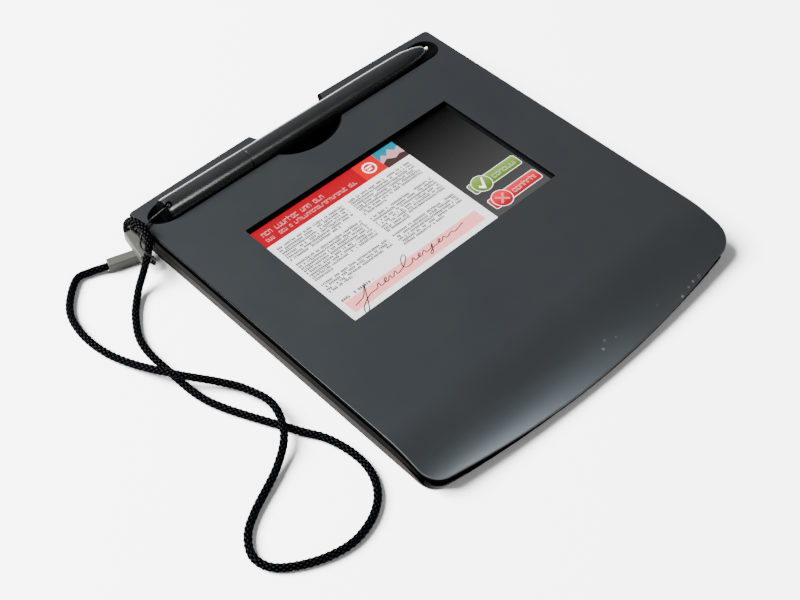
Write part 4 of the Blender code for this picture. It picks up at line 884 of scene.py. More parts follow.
# Feet and case screws
# Four soft black feet are stuck in shallow recesses. Six small pan-head screws with a cross recess
# are driven up from below, their heads just inside the counterbores.
def copies(piece, nodes):
    """Puts copies of a piece, each with its own mesh, where the other nodes of its kind are."""
    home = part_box(nodes[0])[0]
    for node in nodes:
        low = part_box(node)[0]
        shift = Matrix.Translation([low[i] - home[i] for i in range(3)])
        made = piece
        if node != nodes[0]:
            made = bpy.data.objects.new(piece.name + node[-2:], piece.data.copy())
            scene.collection.objects.link(made)
            made.data.transform(shift)
        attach(made, "pad")
        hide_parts(node)


def middle_of(node):
    """The middle of a CAD node's plan."""
    low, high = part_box(node)
    return (low[0] + high[0]) / 2, (low[1] + high[1]) / 2


FOOT_LEVELS = (
    (0.00025, 0.0010),
    (0.00025, 0.0038),
    (0.0, 0.0041),
    (0.0, 0.0052),
    (0.00005, 0.0056),
    (0.0002, 0.0059),
    (0.0004, 0.0060),
    (0.0016, 0.0060),
)
x, y = middle_of("rubber_foot_1")
foot = stacked_form("rubber_pad", [(height, disc(x, y, radius, 64)) for height, radius in FOOT_LEVELS])
smoothed(foot)
foot_black = moulded(
    "foot_black", (0.012, 0.012, 0.012), (0.022, 0.022, 0.022), (0.06, 0.06, 0.06), (0.7, 0.9), 3500, 0.00003
)
wear(foot, foot_black)
copies(foot, [f"rubber_foot_{i}" for i in range(1, 5)])

THREAD_CREST, THREAD_ROOT, THREAD_PITCH = 0.00125, 0.00098, 0.0006
THREAD_START, THREAD_STOP, POINT_LENGTH = 0.0018, 0.0016, 0.0012
POINT_RADIUS = 0.0002
RECESS_REACH, RECESS_HALF, RECESS_DEPTH = 0.00125, 0.0003, 0.0008
low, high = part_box("case_screw_1")
x, y = middle_of("case_screw_1")
SCREW_LEVELS = (
    (0.0, 0.0014),
    (0.00006, 0.0019),
    (0.00025, 0.00222),
    (0.0005, 0.0023),
    (0.0016, 0.0023),
    (0.0016, THREAD_CREST),
)
stations = [(low[2] + height, radius) for height, radius in SCREW_LEVELS]
rise = low[2] + THREAD_START
while rise < high[2] - THREAD_STOP:
    for quarter, radius in enumerate((THREAD_CREST, THREAD_ROOT, THREAD_ROOT, THREAD_CREST)):
        stations.append((rise + quarter * THREAD_PITCH / 4, radius))
    rise += THREAD_PITCH
stations += [(high[2] - POINT_LENGTH, THREAD_CREST), (high[2], POINT_RADIUS)]
screw = stacked_form("cross_screw", [(height, disc(x, y, radius, 48)) for height, radius in stations])


def keep(piece, other, operation):
    """Joins, cuts or trims a piece by another, which is used up."""
    take_up(piece)
    modifier = piece.modifiers.new("by_" + other.name, "BOOLEAN")
    modifier.operation = operation
    modifier.object = other
    bpy.ops.object.modifier_apply(modifier=modifier.name)
    bpy.data.objects.remove(other)
    return piece


for i, (wide, deep) in enumerate(((RECESS_REACH, RECESS_HALF), (RECESS_HALF, RECESS_REACH))):
    arm = rounded_block((x - wide, x + wide), (y - deep, y + deep), 0.00008, 2)
    levels = [(low[2] - RECESS_DEPTH, arm), (low[2] + RECESS_DEPTH, arm)]
    keep(screw, stacked_form(f"recess_arm_{i}", levels), "DIFFERENCE")
smoothed(screw)
wear(screw, screw_steel)
copies(screw, [f"case_screw_{i}" for i in range(1, 7)])

# Top cover
# One dark blue-gray moulding with a fine even grain. Its front bends down along a parabola, its rim
# is rounded, and softly rounded lips lead into the pen's trough, the finger scoop and the notch.
PAD_WIDTH, PAD_DEPTH = 0.1567, 0.1723
FRONT_SAGITTA, BACK_SAGITTA = 0.0072, 0.0014
FRONT_CORNER, BACK_CORNER = 0.008, 0.002
COVER_UNDER, COVER_TOP = 0.0112, 0.0128
RIM_RADIUS, LOW_EASE = 0.0004, 0.00015
BEND_STRIPS = 27
Y_PEN, Z_PEN = 0.07565, 0.0128
TROUGH_RADIUS, TROUGH_WALL = 0.0053, 0.0012
X_TROUGH_LEFT, X_TROUGH_RIGHT = -0.0742, 0.0740
TROUGH_LEFT_END, TROUGH_RIGHT_END = 0.00935, 0.0060
SCOOP_WIDE, SCOOP_DEEP, SCOOP_FLOOR, SCOOP_HIGH = 0.0178, 0.0125, 0.0054, 0.0090
NOTCH_HALF, NOTCH_FLOOR = 0.0178, 0.0056
NOTCH_SPREAD = (NOTCH_HALF - 0.0162) / 0.0042
LIP_RADIUS, LIP_DEPTH, LIP_START = 0.0012, 0.0016, -0.00045
SHELL_BOTTOM, SHELL_INSET = 0.0024, 0.0009
POST_BOTTOM, POST_RADIUS = 0.0049, 0.0028
POST_HOLE_TOP, POST_HOLE_RADIUS = 0.0092, 0.00155
PAST = 0.002


def pad_outline(inset):
    """Plan of the pad, moved in by inset: bowed front and back, straight sides, rounded corners."""
    side = PAD_WIDTH / 2 - inset
    halves = []
    for sign, sagitta, corner in ((-1, FRONT_SAGITTA, FRONT_CORNER), (1, BACK_SAGITTA, BACK_CORNER)):
        bow = ((PAD_WIDTH / 2) ** 2 + sagitta**2) / (2 * sagitta)
        y_bow = sign * (PAD_DEPTH / 2 - bow)
        reach = bow - inset
        radius = max(corner - inset, 0.0006)
        x_corner = side - radius
        y_corner = y_bow + sign * math.sqrt((reach - radius) ** 2 - x_corner**2)
        lean = math.atan2(x_corner, sign * (y_corner - y_bow))
        half = []
        for i in range(33):
            angle = lean * i / 32
            half.append((reach * math.sin(angle), y_bow + sign * reach * math.cos(angle)))
        for i in range(1, 13):
            angle = lean + (math.pi / 2 - lean) * i / 12
            half.append((x_corner + radius * math.sin(angle), y_corner + sign * radius * math.cos(angle)))
        halves.append(half)
    right = halves[0] + halves[1][::-1]
    return right + [(-x, y) for x, y in reversed(right[1:-1])]


def oval(growth, end_left, end_right, half, left, right, y, steps=24):
    """Outline with straight sides and elliptical ends, moved out by growth."""
    points = []
    for centre, reach, start in ((right - end_right, end_right, -90), (left + end_left, end_left, 90)):
        for i in range(steps + 1):
            angle = math.radians(start + 180 * i / steps)
            x = centre + (reach + growth) * math.cos(angle)
            points.append((x, y + (half + growth) * math.sin(angle)))
    return points


def trough_plan(growth):
    """Outline of the pen's trough in the cover's face."""
    ends = TROUGH_LEFT_END, TROUGH_RIGHT_END
    return oval(growth, *ends, TROUGH_RADIUS, X_TROUGH_LEFT, X_TROUGH_RIGHT, Y_PEN)


def scoop_plan(growth, share=1.0):
    """Outline of the finger scoop, drawn in to a share of its size."""
    turns = [2 * math.pi * i / 96 for i in range(96)]
    wide, deep = SCOOP_WIDE * share + growth, SCOOP_DEEP * share + growth
    return [(wide * math.cos(turn), Y_PEN + deep * math.sin(turn)) for turn in turns]


def notch_plan(growth):
    """Outline of the notch, which widens from the pen's axis out past the back edge."""
    y_end = PAD_DEPTH / 2 + PAST
    back = NOTCH_HALF + growth + NOTCH_SPREAD * PAST
    front = NOTCH_HALF + growth - NOTCH_SPREAD * (PAD_DEPTH / 2 - Y_PEN)
    return [(-front, Y_PEN), (front, Y_PEN), (back, y_end), (-back, y_end)]


def trough_form(name, growth):
    """The trough as a turned form with elliptical ends, laid along the pen's axis."""
    radius = TROUGH_RADIUS + growth
    left_end, right_end = [], []
    for angle in range(2, 91, 4):
        reach, inward = radius * math.sin(math.radians(angle)), 1 - math.cos(math.radians(angle))
        left_end.append((X_TROUGH_LEFT - growth + TROUGH_LEFT_END * inward, reach))
        right_end.insert(0, (X_TROUGH_RIGHT + growth - TROUGH_RIGHT_END * inward, reach))
    levels = [(x, disc(0, 0, reach, 96)) for x, reach in left_end + right_end]
    return along_x(stacked_form(name, levels), Y_PEN, Z_PEN)


def along_x(form, y, z):
    """Lays a form that stands on Z along X, on an axis at y and z, and applies its place."""
    take_up(form)
    form.rotation_euler = (0, math.pi / 2, 0)
    form.location = (0, y, z)
    bpy.ops.object.transform_apply(location=True, rotation=True, scale=True)
    return form


def lip(name, plan):
    """Cutter for a rounded lip: the plan widens along a quarter round as it comes up to the face."""
    start = math.asin(LIP_RADIUS / (TROUGH_RADIUS + LIP_RADIUS))
    centre = (TROUGH_RADIUS + LIP_RADIUS) * math.cos(start) - TROUGH_RADIUS
    levels = [(COVER_TOP - LIP_DEPTH, plan(LIP_START))]
    for i in range(9):
        angle = start + (math.pi / 2 - start) * i / 8
        height = COVER_TOP - LIP_RADIUS * (1 - math.sin(angle))
        levels.append((height, plan(centre - LIP_RADIUS * math.cos(angle))))
    levels.append((COVER_TOP + PAST, plan(centre)))
    return stacked_form(name, levels)


def scoop_form(name, growth):
    """The finger scoop: the lower half of an ellipsoid, with a flat floor and an eased corner."""
    floor = SCOOP_FLOOR + growth
    high = SCOOP_HIGH + growth
    levels = []
    for i in range(15):
        depth = floor * (1 - i / 14)
        share = math.sqrt(1 - (depth / high) ** 2)
        if i == 0:
            levels.append((COVER_TOP - depth, scoop_plan(growth - 0.0009, share)))
            levels.append((COVER_TOP - depth + 0.00006, scoop_plan(growth - 0.00035, share)))
        else:
            levels.append((COVER_TOP - depth, scoop_plan(growth, share)))
    levels.append((COVER_TOP + PAST, scoop_plan(growth)))
    return stacked_form(name, levels)


def notch_form(name, growth):
    """The notch behind the pen, cut straight down to its floor."""
    plan = notch_plan(growth)
    return stacked_form(name, [(COVER_TOP - NOTCH_FLOOR - growth, plan), (COVER_TOP + PAST, plan)])


levels = [(COVER_UNDER, pad_outline(LOW_EASE)), (COVER_UNDER + LOW_EASE, pad_outline(0))]
for i in range(6):
    angle = math.pi / 2 * i / 5
    inset = RIM_RADIUS * (1 - math.cos(angle))
    levels.append((COVER_TOP - RIM_RADIUS * (1 - math.sin(angle)), pad_outline(inset)))
cover = stacked_form("cover_moulding", levels)
middle = (COVER_UNDER + COVER_TOP) / 2
for make in (trough_form, scoop_form, notch_form):
    shell = make("shell_" + make.__name__, TROUGH_WALL)
    plan = pad_outline(SHELL_INSET)
    limit = stacked_form("shell_limit", [(SHELL_BOTTOM, plan), (middle, plan)])
    keep(cover, keep(shell, limit, "INTERSECT"), "UNION")
for i in range(1, 7):
    x, y = middle_of(f"case_screw_{i}")
    wall, bore = disc(x, y, POST_RADIUS), disc(x, y, POST_HOLE_RADIUS)
    post = stacked_form("screw_post", [(POST_BOTTOM, wall), (middle, wall)])
    hole = stacked_form("post_hole", [(POST_BOTTOM - PAST, bore), (POST_HOLE_TOP, bore)])
    keep(keep(cover, post, "UNION"), hole, "DIFFERENCE")
for make in (trough_form, scoop_form, notch_form):
    keep(cover, make("recess_" + make.__name__, 0), "DIFFERENCE")
for name, plan in (("trough_lip", trough_plan), ("scoop_lip", scoop_plan), ("notch_lip", notch_plan)):
    keep(cover, lip(name, plan), "DIFFERENCE")

WINDOW_X, WINDOW_Y = (-0.0520, 0.0520), (-0.01390, 0.04680)
WINDOW_CORNER, WINDOW_EASE = 0.0005, 0.00022


def window_plan(growth):
    """Outline of the display's window."""
    x_range = (WINDOW_X[0] - growth, WINDOW_X[1] + growth)
    y_range = (WINDOW_Y[0] - growth, WINDOW_Y[1] + growth)
    return rounded_block(x_range, y_range, WINDOW_CORNER + growth)


levels = [(COVER_UNDER - PAST, window_plan(0))]
for i in range(5):
    angle = math.pi / 2 * i / 4
    growth = WINDOW_EASE * (1 - math.cos(angle))
    levels.append((COVER_TOP - WINDOW_EASE * (1 - math.sin(angle)), window_plan(growth)))
levels.append((COVER_TOP + PAST, window_plan(WINDOW_EASE)))
keep(cover, stacked_form("window", levels), "DIFFERENCE")


def bend_drop(y):
    """How far the front has bent down at a depth."""
    return BEND_DROP * (max(Y_BEND - y, 0) / BEND_LENGTH) ** 2


def bend_normal(y):
    """The direction straight out of the bent front at a depth."""
    return Vector((0, -2 * BEND_DROP / BEND_LENGTH**2 * max(Y_BEND - y, 0), 1)).normalized()


take_up(cover)
bpy.ops.object.mode_set(mode="EDIT")
for i in range(BEND_STRIPS):
    bpy.ops.mesh.select_all(action="SELECT")
    bpy.ops.mesh.bisect(plane_co=(0, Y_BEND - BEND_LENGTH * i / BEND_STRIPS, 0), plane_no=(0, 1, 0))
bpy.ops.mesh.select_mode(type="FACE")
bpy.ops.mesh.select_all(action="DESELECT")
shape = bmesh.from_edit_mesh(cover.data)
for face in shape.faces:
    face.select = len(face.verts) > 40
bmesh.update_edit_mesh(cover.data)
bpy.ops.mesh.quads_convert_to_tris()
bpy.ops.mesh.select_mode(type="VERT")
bpy.ops.mesh.select_all(action="SELECT")
bpy.ops.mesh.dissolve_degenerate(threshold=0.000003)
bpy.ops.object.mode_set(mode="OBJECT")
for vert in cover.data.vertices:
    vert.co.z -= bend_drop(vert.co.y)
smoothed(cover)
leans = [corner.vector.copy() for corner in cover.data.corner_normals]
sheet = {}
for face in cover.data.polygons:
    if face.normal.z > 0.8 and abs(face.center.z + bend_drop(face.center.y) - COVER_TOP) < 0.0001:
        for number in face.vertices:
            sheet[number] = bend_normal(cover.data.vertices[number].co.y)
for face in cover.data.polygons:
    for corner, number in zip(face.loop_indices, face.vertices):
        if number in sheet and face.normal.angle(sheet[number]) < math.radians(40):
            leans[corner] = sheet[number]
cover.data.normals_split_custom_set(leans)

SCUFFS_MM = (
    (6.9, -78.5, 0.9),
    (4.2, -80.0, 0.7),
    (11.4, -79.7, 0.4),
    (33.3, -80.1, 0.5),
    (44.2, -83.4, 0.9),
    (48.9, -82.1, 0.5),
    (52.0, -81.6, 0.6),
    (55.5, -81.6, 0.8),
    (0.3, 63.2, 0.9),
)
cover_gray, tree, shader = new_finish("cover_gray", (0.009, 0.010, 0.012), 0.31)
skin = add_node(tree, "Group", node_tree=moulded_skin)
skin.inputs["Grain"].default_value = 5200.0
skin.inputs["Mottle"].default_value = 45.0
base = tinted(tree, skin.outputs["Mottle"], (0.0060, 0.0066, 0.0074), (0.0065, 0.0071, 0.0078))
place = own_place(tree)
level = add_node(tree, "VectorMath", {0: place, 1: (1.0, 1.0, 0.0)}, operation="MULTIPLY").outputs["Vector"]
scuffs = 0.0
for x, y, reach in SCUFFS_MM:
    far_off = add_node(tree, "VectorMath", {0: level, 1: (x * MM, y * MM, 0.0)}, operation="DISTANCE")
    mark = ramp(tree, far_off.outputs["Value"], reach * MM, 0.3 * reach * MM)
    scuffs = maths(tree, "MAXIMUM", scuffs, mark)
scuffed = maths(tree, "MULTIPLY", scuffs, ramp(tree, noise(tree, place, 1400.0), 0.46, 0.54))
feed(shader, "Base Color", tinted(tree, scuffed, base, (0.075, 0.080, 0.085)))
feed(shader, "Roughness", ramp(tree, skin.outputs["Mottle"], 0, 1, 0.278, 0.292))
raised(shader, skin.outputs["Height"], 0.000003)
shader.inputs["Specular IOR Level"].default_value = 0.5
shader.inputs["Specular Tint"].default_value = (0.80, 0.91, 1.0, 1.0)
wear(cover, cover_gray)


def dark_part(x, y, z, tilt):
    """Painted shade on the cover's outer sides, the window's walls and inside the trough, scoop and notch.
    """
    if outermost(Vector((x, y, z))):
        return tilt < (0.996 if y > -0.045 else 0.35)
    if y > 0.055:
        return z < 0.0116 or tilt < 0.93
    return tilt < 0.35


# The cover's outer sides, the window's walls and the recesses are painted near black as shade.
blackened(cover, dark_part)
# The rim's rounding gets a painted highlight at the left and front, which fades to painted shade towards the
# right and back.
painted_rim_highlight, tree, shader = new_finish("painted_rim_highlight", (0.033, 0.035, 0.037), 0.35)
axes = parts_of(tree, own_place(tree))
skin = add_node(tree, "Group", node_tree=moulded_skin)
rim_painted_glint = tinted(tree, skin.outputs["Mottle"], (0.030, 0.032, 0.034), (0.040, 0.042, 0.045))
rim_painted_shade = maths(tree, "MAXIMUM", ramp(tree, axes["X"], -0.02, 0.045), ramp(tree, axes["Y"], -0.055, 0.025))
feed(shader, "Base Color", tinted(tree, rim_painted_shade, rim_painted_glint, (0.0012, 0.0013, 0.0014)))
raised(shader, skin.outputs["Height"], 0.00001)
shader.inputs["Specular IOR Level"].default_value = 0.1
cover.data.materials.append(painted_rim_highlight)
# The window's eased edge is a lighter, glossless gray: a painted highlight line.
window_edge_painted_line = moulded(
    "window_edge_painted_line", (0.009, 0.0095, 0.010), (0.011, 0.0115, 0.012), (0.02, 0.02, 0.02), (0.5, 0.6), gloss=0.0
)
cover.data.materials.append(window_edge_painted_line)
# The rim's rounding takes the painted highlight, and the window's eased edge takes its painted light line.
for face in cover.data.polygons:
    x, y, z = face.center
    lean = math.degrees(face.normal.angle(bend_normal(y)))
    if y < 0.03 and outermost(face.center) and 12 < lean < 56:
        face.material_index = cover.data.materials.find("painted_rim_highlight")
    elif abs(x) < 0.054 and -0.016 < y < 0.049 and 0.35 < face.normal.z < 0.996:
        face.material_index = cover.data.materials.find("window_edge_painted_line")
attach(cover, "pad")
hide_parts("top_cover")

# Inside the pen
# A slim board, a pressure sensor behind the nib, and a coil wound on a ferrite core. They are seen
# only with the barrels off.
sensor_black = moulded(
    "sensor_black", (0.02, 0.02, 0.022), (0.035, 0.035, 0.038), (0.1, 0.1, 0.1), (0.4, 0.5)
)
dress(sensor_black, "pressure_sensor")
ferrite_gray = moulded(
    "ferrite_gray", (0.02, 0.02, 0.021), (0.05, 0.05, 0.052), (0.09, 0.09, 0.09), (0.5, 0.7), 3000.0, 0.00004
)
dress(ferrite_gray, "ferrite_core")
copper = (0.28, 0.10, 0.03), (0.80, 0.40, 0.18)
coil_copper = banded("coil_copper", *copper, 900.0, (0.45, 0.24), 0.00005, 1.0)
dress(coil_copper, "pen_coil")

# Pen barrels
# Two glossy black turned halves that push together at a fine seam. The rear one is closed and has a
# keyhole across its tail for the thread, and the front one tapers in a long curve to the nose.
PEN_RADIUS, PEN_WALL = 0.0050, 0.0012
X_TAIL, X_SEAM, X_MOUTH, X_TIP = -0.0687, -0.0280, 0.0684, 0.0706
PEN_BORE = PEN_RADIUS - PEN_WALL
SEAM_RADIUS, SEAM_EASE, SEAM_GAP = 0.98 * PEN_RADIUS, 0.00012, 0.0003
BLIND_DEPTH, EYELET_RADIUS, EYELET_IN = 0.0067, 0.0014, 0.0024
SPIGOT_LENGTH, SPIGOT_WALL = 0.0080, 0.0009
TAIL_SHADED = 0.0012
MOUTH_RADIUS = 0.00105
FRONT_BORE = ((0.0300, 0.0035), (0.0500, 0.0030), (0.0585, 0.0026), (0.0630, 0.0018), (0.0640, MOUTH_RADIUS))
REAR_SHARES = ((0, 0.70), (0.006, 0.82), (0.03, 0.96), (0.075, 1), (0.3, 1), (0.7, 1), (1, 0.98))
FRONT_SHARES = (
    (0.029, 0.60),
    (0.055, 0.72),
    (0.082, 0.80),
    (0.0975, 0.85),
    (0.129, 0.90),
    (0.243, 0.95),
    (0.40, 0.97),
    (1.0, 0.98),
)


def faired(shares, steps=8):
    """More points on a smooth curve that never overshoots its own points."""
    slopes = [(b[1] - a[1]) / (b[0] - a[0]) for a, b in zip(shares, shares[1:])]
    leans = [slopes[0]]
    for before, after in zip(slopes, slopes[1:]):
        leans.append(0 if before * after <= 0 else 2 * before * after / (before + after))
    leans.append(slopes[-1])
    points = []
    for (a, b), (lean_a, lean_b) in zip(zip(shares, shares[1:]), zip(leans, leans[1:])):
        span = b[0] - a[0]
        for i in range(steps):
            t = i / steps
            start = (1 + 2 * t) * (1 - t) ** 2 * a[1] + t * (1 - t) ** 2 * span * lean_a
            end = t * t * (3 - 2 * t) * b[1] - t * t * (1 - t) * span * lean_b
            points.append((a[0] + t * span, start + end))
    return points + [shares[-1]]


def turned_form(name, stations, ring=False, sides=96):
    """A form turned about the pen's axis from (x, radius) stations."""
    levels = [(x, disc(0, 0, reach, sides)) for x, reach in stations]
    return along_x(stacked_form(name, levels, ring), Y_PEN, Z_PEN)


length = X_SEAM - X_TAIL
skin_line = [(X_TAIL + share * length, reach * PEN_RADIUS) for share, reach in faired(REAR_SHARES)]
rear = [(X_TAIL, 0.0010), (X_TAIL, 0.0030)] + [(x + 0.00002, reach) for x, reach in skin_line[:-1]]
rear += [(X_SEAM - SEAM_EASE, SEAM_RADIUS), (X_SEAM, SEAM_RADIUS - SEAM_EASE), (X_SEAM, PEN_BORE)]
rear += [(X_TAIL + BLIND_DEPTH, PEN_BORE), (X_TAIL + BLIND_DEPTH, 0.0005)]
rear_barrel = turned_form("rear_barrel", rear)
tilt = Matrix.Translation((X_TAIL + EYELET_IN, Y_PEN, Z_PEN)) @ Matrix.Rotation(math.radians(23), 4, "X")
eyelet = stacked_form("eyelet", [(z, disc(0, 0, EYELET_RADIUS)) for z in (-0.007, 0.007)])
way = [(-0.0044, -0.00065), (0, -0.00065), (0, 0.00065), (-0.0044, 0.00065)]
slot_cut = stacked_form("eyelet_way", [(0.00125, way), (0.007, way)])
for cutter in (eyelet, slot_cut):
    cutter.data.transform(tilt)
    keep(rear_barrel, cutter, "DIFFERENCE")
smoothed(rear_barrel, 34)

seam = X_SEAM + SEAM_GAP
length = X_MOUTH - seam
skin_line = [(X_MOUTH - share * length, reach * PEN_RADIUS) for share, reach in faired(FRONT_SHARES)]
spigot = PEN_BORE - 0.0003
front = [(X_MOUTH, MOUTH_RADIUS), (X_MOUTH, 0.0014), (X_MOUTH - 0.0006, 0.0020), (X_MOUTH - 0.0014, 0.0025)]
front += skin_line[:-1] + [(seam + SEAM_EASE, SEAM_RADIUS), (seam, SEAM_RADIUS - SEAM_EASE), (seam, spigot)]
front += [(X_SEAM - SPIGOT_LENGTH, spigot), (X_SEAM - SPIGOT_LENGTH, spigot - SPIGOT_WALL)]
front += [(seam + SPIGOT_WALL, spigot - SPIGOT_WALL), (seam + SPIGOT_WALL, 0.0036)]
front += [*FRONT_BORE, (X_MOUTH, MOUTH_RADIUS)]
front_barrel = smoothed(turned_form("front_barrel", front, True), 34)

pen_black = moulded(
    "pen_black",
    (0.0062, 0.0069, 0.0071),
    (0.0070, 0.0077, 0.0079),
    (0.012, 0.012, 0.013),
    (0.23, 0.27),
    350.0,
    0.000002,
    0.0,
    0.28,
)
for piece, node in ((rear_barrel, "pen_rear_barrel"), (front_barrel, "pen_front_barrel")):
    wear(piece, pen_black)
    # The tail end is painted near black as shade.
    blackened(piece, lambda x, y, z, tilt: x < X_TAIL + TAIL_SHADED)
    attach(piece, "pen")
    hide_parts(node)

# Pen nib
# A slim white rod of slippery plastic with a rounded tip, which slides back into the pen a little
# when it is pressed on the glass.
NIB_RADIUS, X_NIB_BACK = 0.00075, 0.0280
nib_line = [(X_NIB_BACK, 0.0003), (X_NIB_BACK, 0.00065), (X_NIB_BACK + 0.0001, NIB_RADIUS)]
for i in range(7):
    turn = i * math.pi / 14
    nib_line.append((X_TIP - NIB_RADIUS * (1 - math.sin(turn)), NIB_RADIUS * math.cos(turn)))
nib = smoothed(turned_form("white_nib", nib_line, False, 32))
nib_white = moulded("nib_white", (0.66, 0.66, 0.63), (0.74, 0.74, 0.71), (0.5, 0.5, 0.48), (0.35, 0.45))
wear(nib, nib_white)
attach(nib, "nib")
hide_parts("pen_nib")

# Sleeves, threads, knots and bead
# Square greenish gray sleeves are moulded round the cord's two ends. Thin twisted black threads run
# from them to the anchor pin and to the pen's keyhole, with a clear bead beside the upper sleeve.
sleeve_gray = moulded(
    "sleeve_gray",
    (0.019, 0.0195, 0.0155),
    (0.0225, 0.023, 0.0185),
    (0.04, 0.04, 0.034),
    (0.45, 0.6),
    4000.0,
    0.00002,
    gloss=0.2,
)
SLEEVE_HALF, SLEEVE_CORNER, SLEEVE_OVERLAP_MM, CORD_SEAT = 0.0021, 0.0005, 0.5, 0.0008
SLEEVES = (
    ("tether_sleeve_1", Vector((-94.3, 77.1, 2.2)), Vector((-81.6, 73.0, 2.2))),
    ("tether_sleeve_2", Vector((-82.19, 79.2, 8.42)), Vector((-84.3, 66.2, 6.9))),
)


def ringed(points, radius):
    """Points moved out or in to a circle."""
    return [(x * radius / math.hypot(x, y), y * radius / math.hypot(x, y)) for x, y in points]


for node, start, end in SLEEVES:
    start += (start - end).normalized() * SLEEVE_OVERLAP_MM
    along = (end - start) * MM
    length = along.length
    levels = []
    for place, ease in ((0.0, 0.00035), (0.0001, 0.00014), (0.0003, 0.0)):
        half = SLEEVE_HALF - ease
        levels.append((place, rounded_block((-half, half), (-half, half), SLEEVE_CORNER)))
    plain = levels[-1][1]
    mouth = [(CORD_SEAT, ringed(plain, 0.0012)), (CORD_SEAT, ringed(plain, 0.0016))]
    mouth.append((0.0, ringed(plain, 0.00165)))
    tail = [(length - place, points) for place, points in reversed(levels)]
    tail += [(length, ringed(plain, 0.0008)), (length - 0.0008, ringed(plain, 0.0007))]
    sleeve = stacked_form("moulded_" + node[7:], mouth + levels + tail)
    ahead = along.normalized()
    side = Vector((0, 0, 1)).cross(ahead).normalized()
    place = Matrix((side, ahead.cross(side), ahead)).transposed().to_4x4()
    sleeve.data.transform(Matrix.Translation(start * MM) @ place)
    smoothed(sleeve)
    wear(sleeve, sleeve_gray)
    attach(sleeve, "pad")
    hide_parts(node)

PEN_THREAD_MM = (
    (-70.62, 74.83, 14.75),
    (-73.4, 75.2, 13.9),
    (-77.2, 73.9, 13.75),
    (-80.2, 72.6, 12.9),
    (-83.0, 70.4, 12.2),
    (-84.9, 67.2, 12.5),
    (-85.4, 63.2, 13.2),
    (-84.0, 61.4, 11.2),
    (-83.2, 61.9, 8.8),
    (-83.5, 62.4, 7.6),
)
ANCHOR_THREAD_MM = (
    (-81.9, 73.05, 2.2),
    (-80.6, 72.7, 2.7),
    (-79.7, 72.5, 4.2),
    (-78.5, 72.3, 6.0),
    (-76.4, 72.0, 6.7),
    (-74.2, 71.7, 6.7),
    (-72.0, 71.9, 6.7),
    (-71.3, 73.5, 6.7),
    (-72.0, 75.1, 6.7),
    (-74.4, 75.2, 6.7),
)
TWIST_PITCH_MM, TWIST_RELIEF = 1.6, 0.00005
THREAD_STEP, THREAD_RADIUS = 0.00014, 0.00045


def twist(angle, reach):
    """Height of a thread's two twisted strands."""
    return TWIST_RELIEF * math.cos(2 * angle - 2 * math.pi * reach / (TWIST_PITCH_MM * MM))


thread_black, tree, shader = new_finish("thread_black", (0.012, 0.012, 0.013), 0.45)
along = add_node(tree, "UVMap", uv_map="cord").outputs["UV"]
parts = parts_of(tree, along)
round_it = maths(tree, "MULTIPLY", parts["X"], 4 * math.pi)
down_it = maths(tree, "MULTIPLY", parts["Y"], 2 * math.pi / TWIST_PITCH_MM)
winding = maths(tree, "SUBTRACT", round_it, down_it)
strand_crest_and_highlight = ramp(tree, maths(tree, "COSINE", winding), -1, 1)
# The crests of the twisted strands get a painted highlight in the base colour.
feed(shader, "Base Color", tinted(tree, strand_crest_and_highlight, (0.0003, 0.0003, 0.0004), (0.0022, 0.0024, 0.0028)))
shader.inputs["Specular IOR Level"].default_value = 0.1
feed(shader, "Roughness", ramp(tree, strand_crest_and_highlight, 0, 1, 0.7, 0.33))
raised(shader, noise(tree, along, 14.0), 0.00002)

for name, node, points in (
    ("twisted_pen_thread", "pen_thread", PEN_THREAD_MM),
    ("twisted_anchor_thread", "anchor_thread", ANCHOR_THREAD_MM),
):
    thread = cord_tube(name, smooth_line(points, THREAD_STEP), THREAD_RADIUS, 14, twist)
    wear(thread, thread_black)
    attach(thread, "pad")
    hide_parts(node)

COIL_MIDDLE_MM, COIL_RADIUS_MM, COIL_LENGTH_MM = Vector((-81.9, 78.3, 12.3)), 0.75, 1.7
FREE_STRAND_MM = (
    (-80.3, 76.9, 10.7),
    (-80.4, 74.6, 9.6),
    (-80.6, 72.6, 8.7),
    (-81.2, 70.9, 8.9),
    (-82.0, 67.9, 9.8),
    (-82.9, 65.6, 9.2),
    (-83.3, 63.6, 8.2),
)
coil = []
for i in range(37):
    turn = i * math.pi / 6
    out = Vector((COIL_LENGTH_MM * i / 36, COIL_RADIUS_MM * math.cos(turn), COIL_RADIUS_MM * math.sin(turn)))
    coil.append(COIL_MIDDLE_MM + out)
wound_line = smooth_line([*coil, *FREE_STRAND_MM], THREAD_STEP)
windings = cord_tube("thread_windings", wound_line, 0.0004, 14, twist)
wear(windings, thread_black)
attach(windings, "pad")


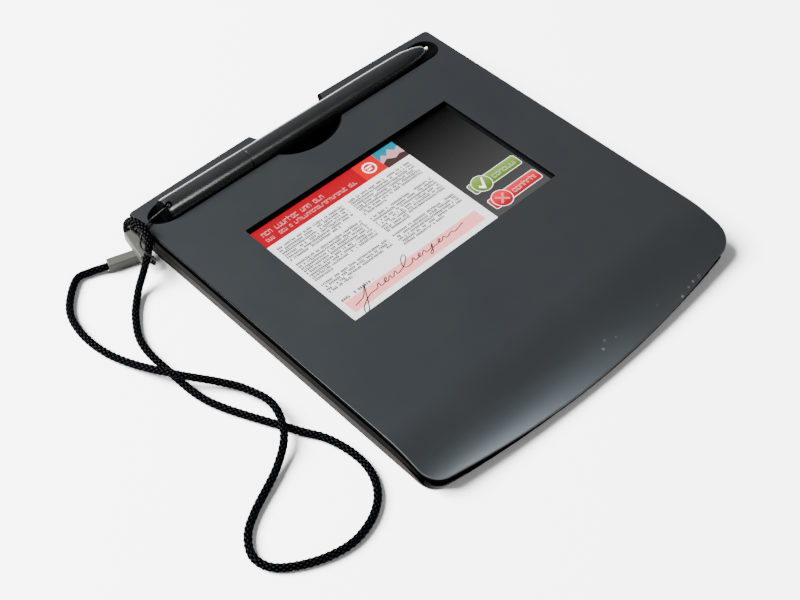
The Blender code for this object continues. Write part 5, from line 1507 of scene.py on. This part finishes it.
def knot_line(centre, size):
    """The path of a simple overhand knot round a centre."""
    line = []
    for i in range(97):
        t = 2 * math.pi * i / 96
        x, y = math.sin(t) + 2 * math.sin(2 * t), math.cos(t) - 2 * math.cos(2 * t)
        line.append(Vector(centre) + Vector((x, y, -math.sin(3 * t))) * size / 3)
    return line


def middle_point(node):
    """The middle of a CAD node's box."""
    low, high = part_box(node)
    return [(low[i] + high[i]) / 2 for i in range(3)]


loop = knot_line(middle_point("thread_end_knot"), 0.00085)
end_knot = cord_tube("thread_end_loop", loop, 0.0004, 10, twist)
wear(end_knot, thread_black)
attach(end_knot, "pad")
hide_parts("thread_end_knot")

low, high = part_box("pen_thread_knot")
knot_home = Vector((high[0] - 0.0010, low[1] + 0.0010, high[2] - 0.0010))
pen_knot = cord_tube("pen_knot_loop", knot_line(knot_home, 0.00068), 0.00036, 10, twist)
tail_end = Vector((low[0], high[1] - 0.0005, low[2] + 0.0005))
tail_line = [knot_home.lerp(tail_end, i / 24) for i in range(25)]
tail = cord_tube("pen_knot_tail", tail_line, THREAD_RADIUS, 14, twist)
take_up(pen_knot, tail)
bpy.ops.object.join()
wear(pen_knot, thread_black)
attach(pen_knot, "pen")
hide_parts("pen_thread_knot")

BEAD_RADIUS, BEAD_HOLE_DEPTH = 0.0011, 0.0005
x, y, z = middle_point("thread_bead")
bead_line = [(z - BEAD_RADIUS + BEAD_HOLE_DEPTH, 0.0001)]
for i in range(13):
    turn = math.radians(-78 + 156 * i / 12)
    bead_line.append((z + BEAD_RADIUS * math.sin(turn), BEAD_RADIUS * math.cos(turn)))
bead_line.append((z + BEAD_RADIUS - BEAD_HOLE_DEPTH, 0.0001))
bead = smoothed(stacked_form("clear_bead", [(height, disc(x, y, reach, 36)) for height, reach in bead_line]))
bead_clear = moulded(
    "bead_clear", (0.03, 0.03, 0.028), (0.042, 0.042, 0.04), (0.05, 0.05, 0.05), (0.2, 0.3), 1500.0, 0.00001
)
wear(bead, bead_clear)
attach(bead, "pad")
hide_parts("thread_bead")
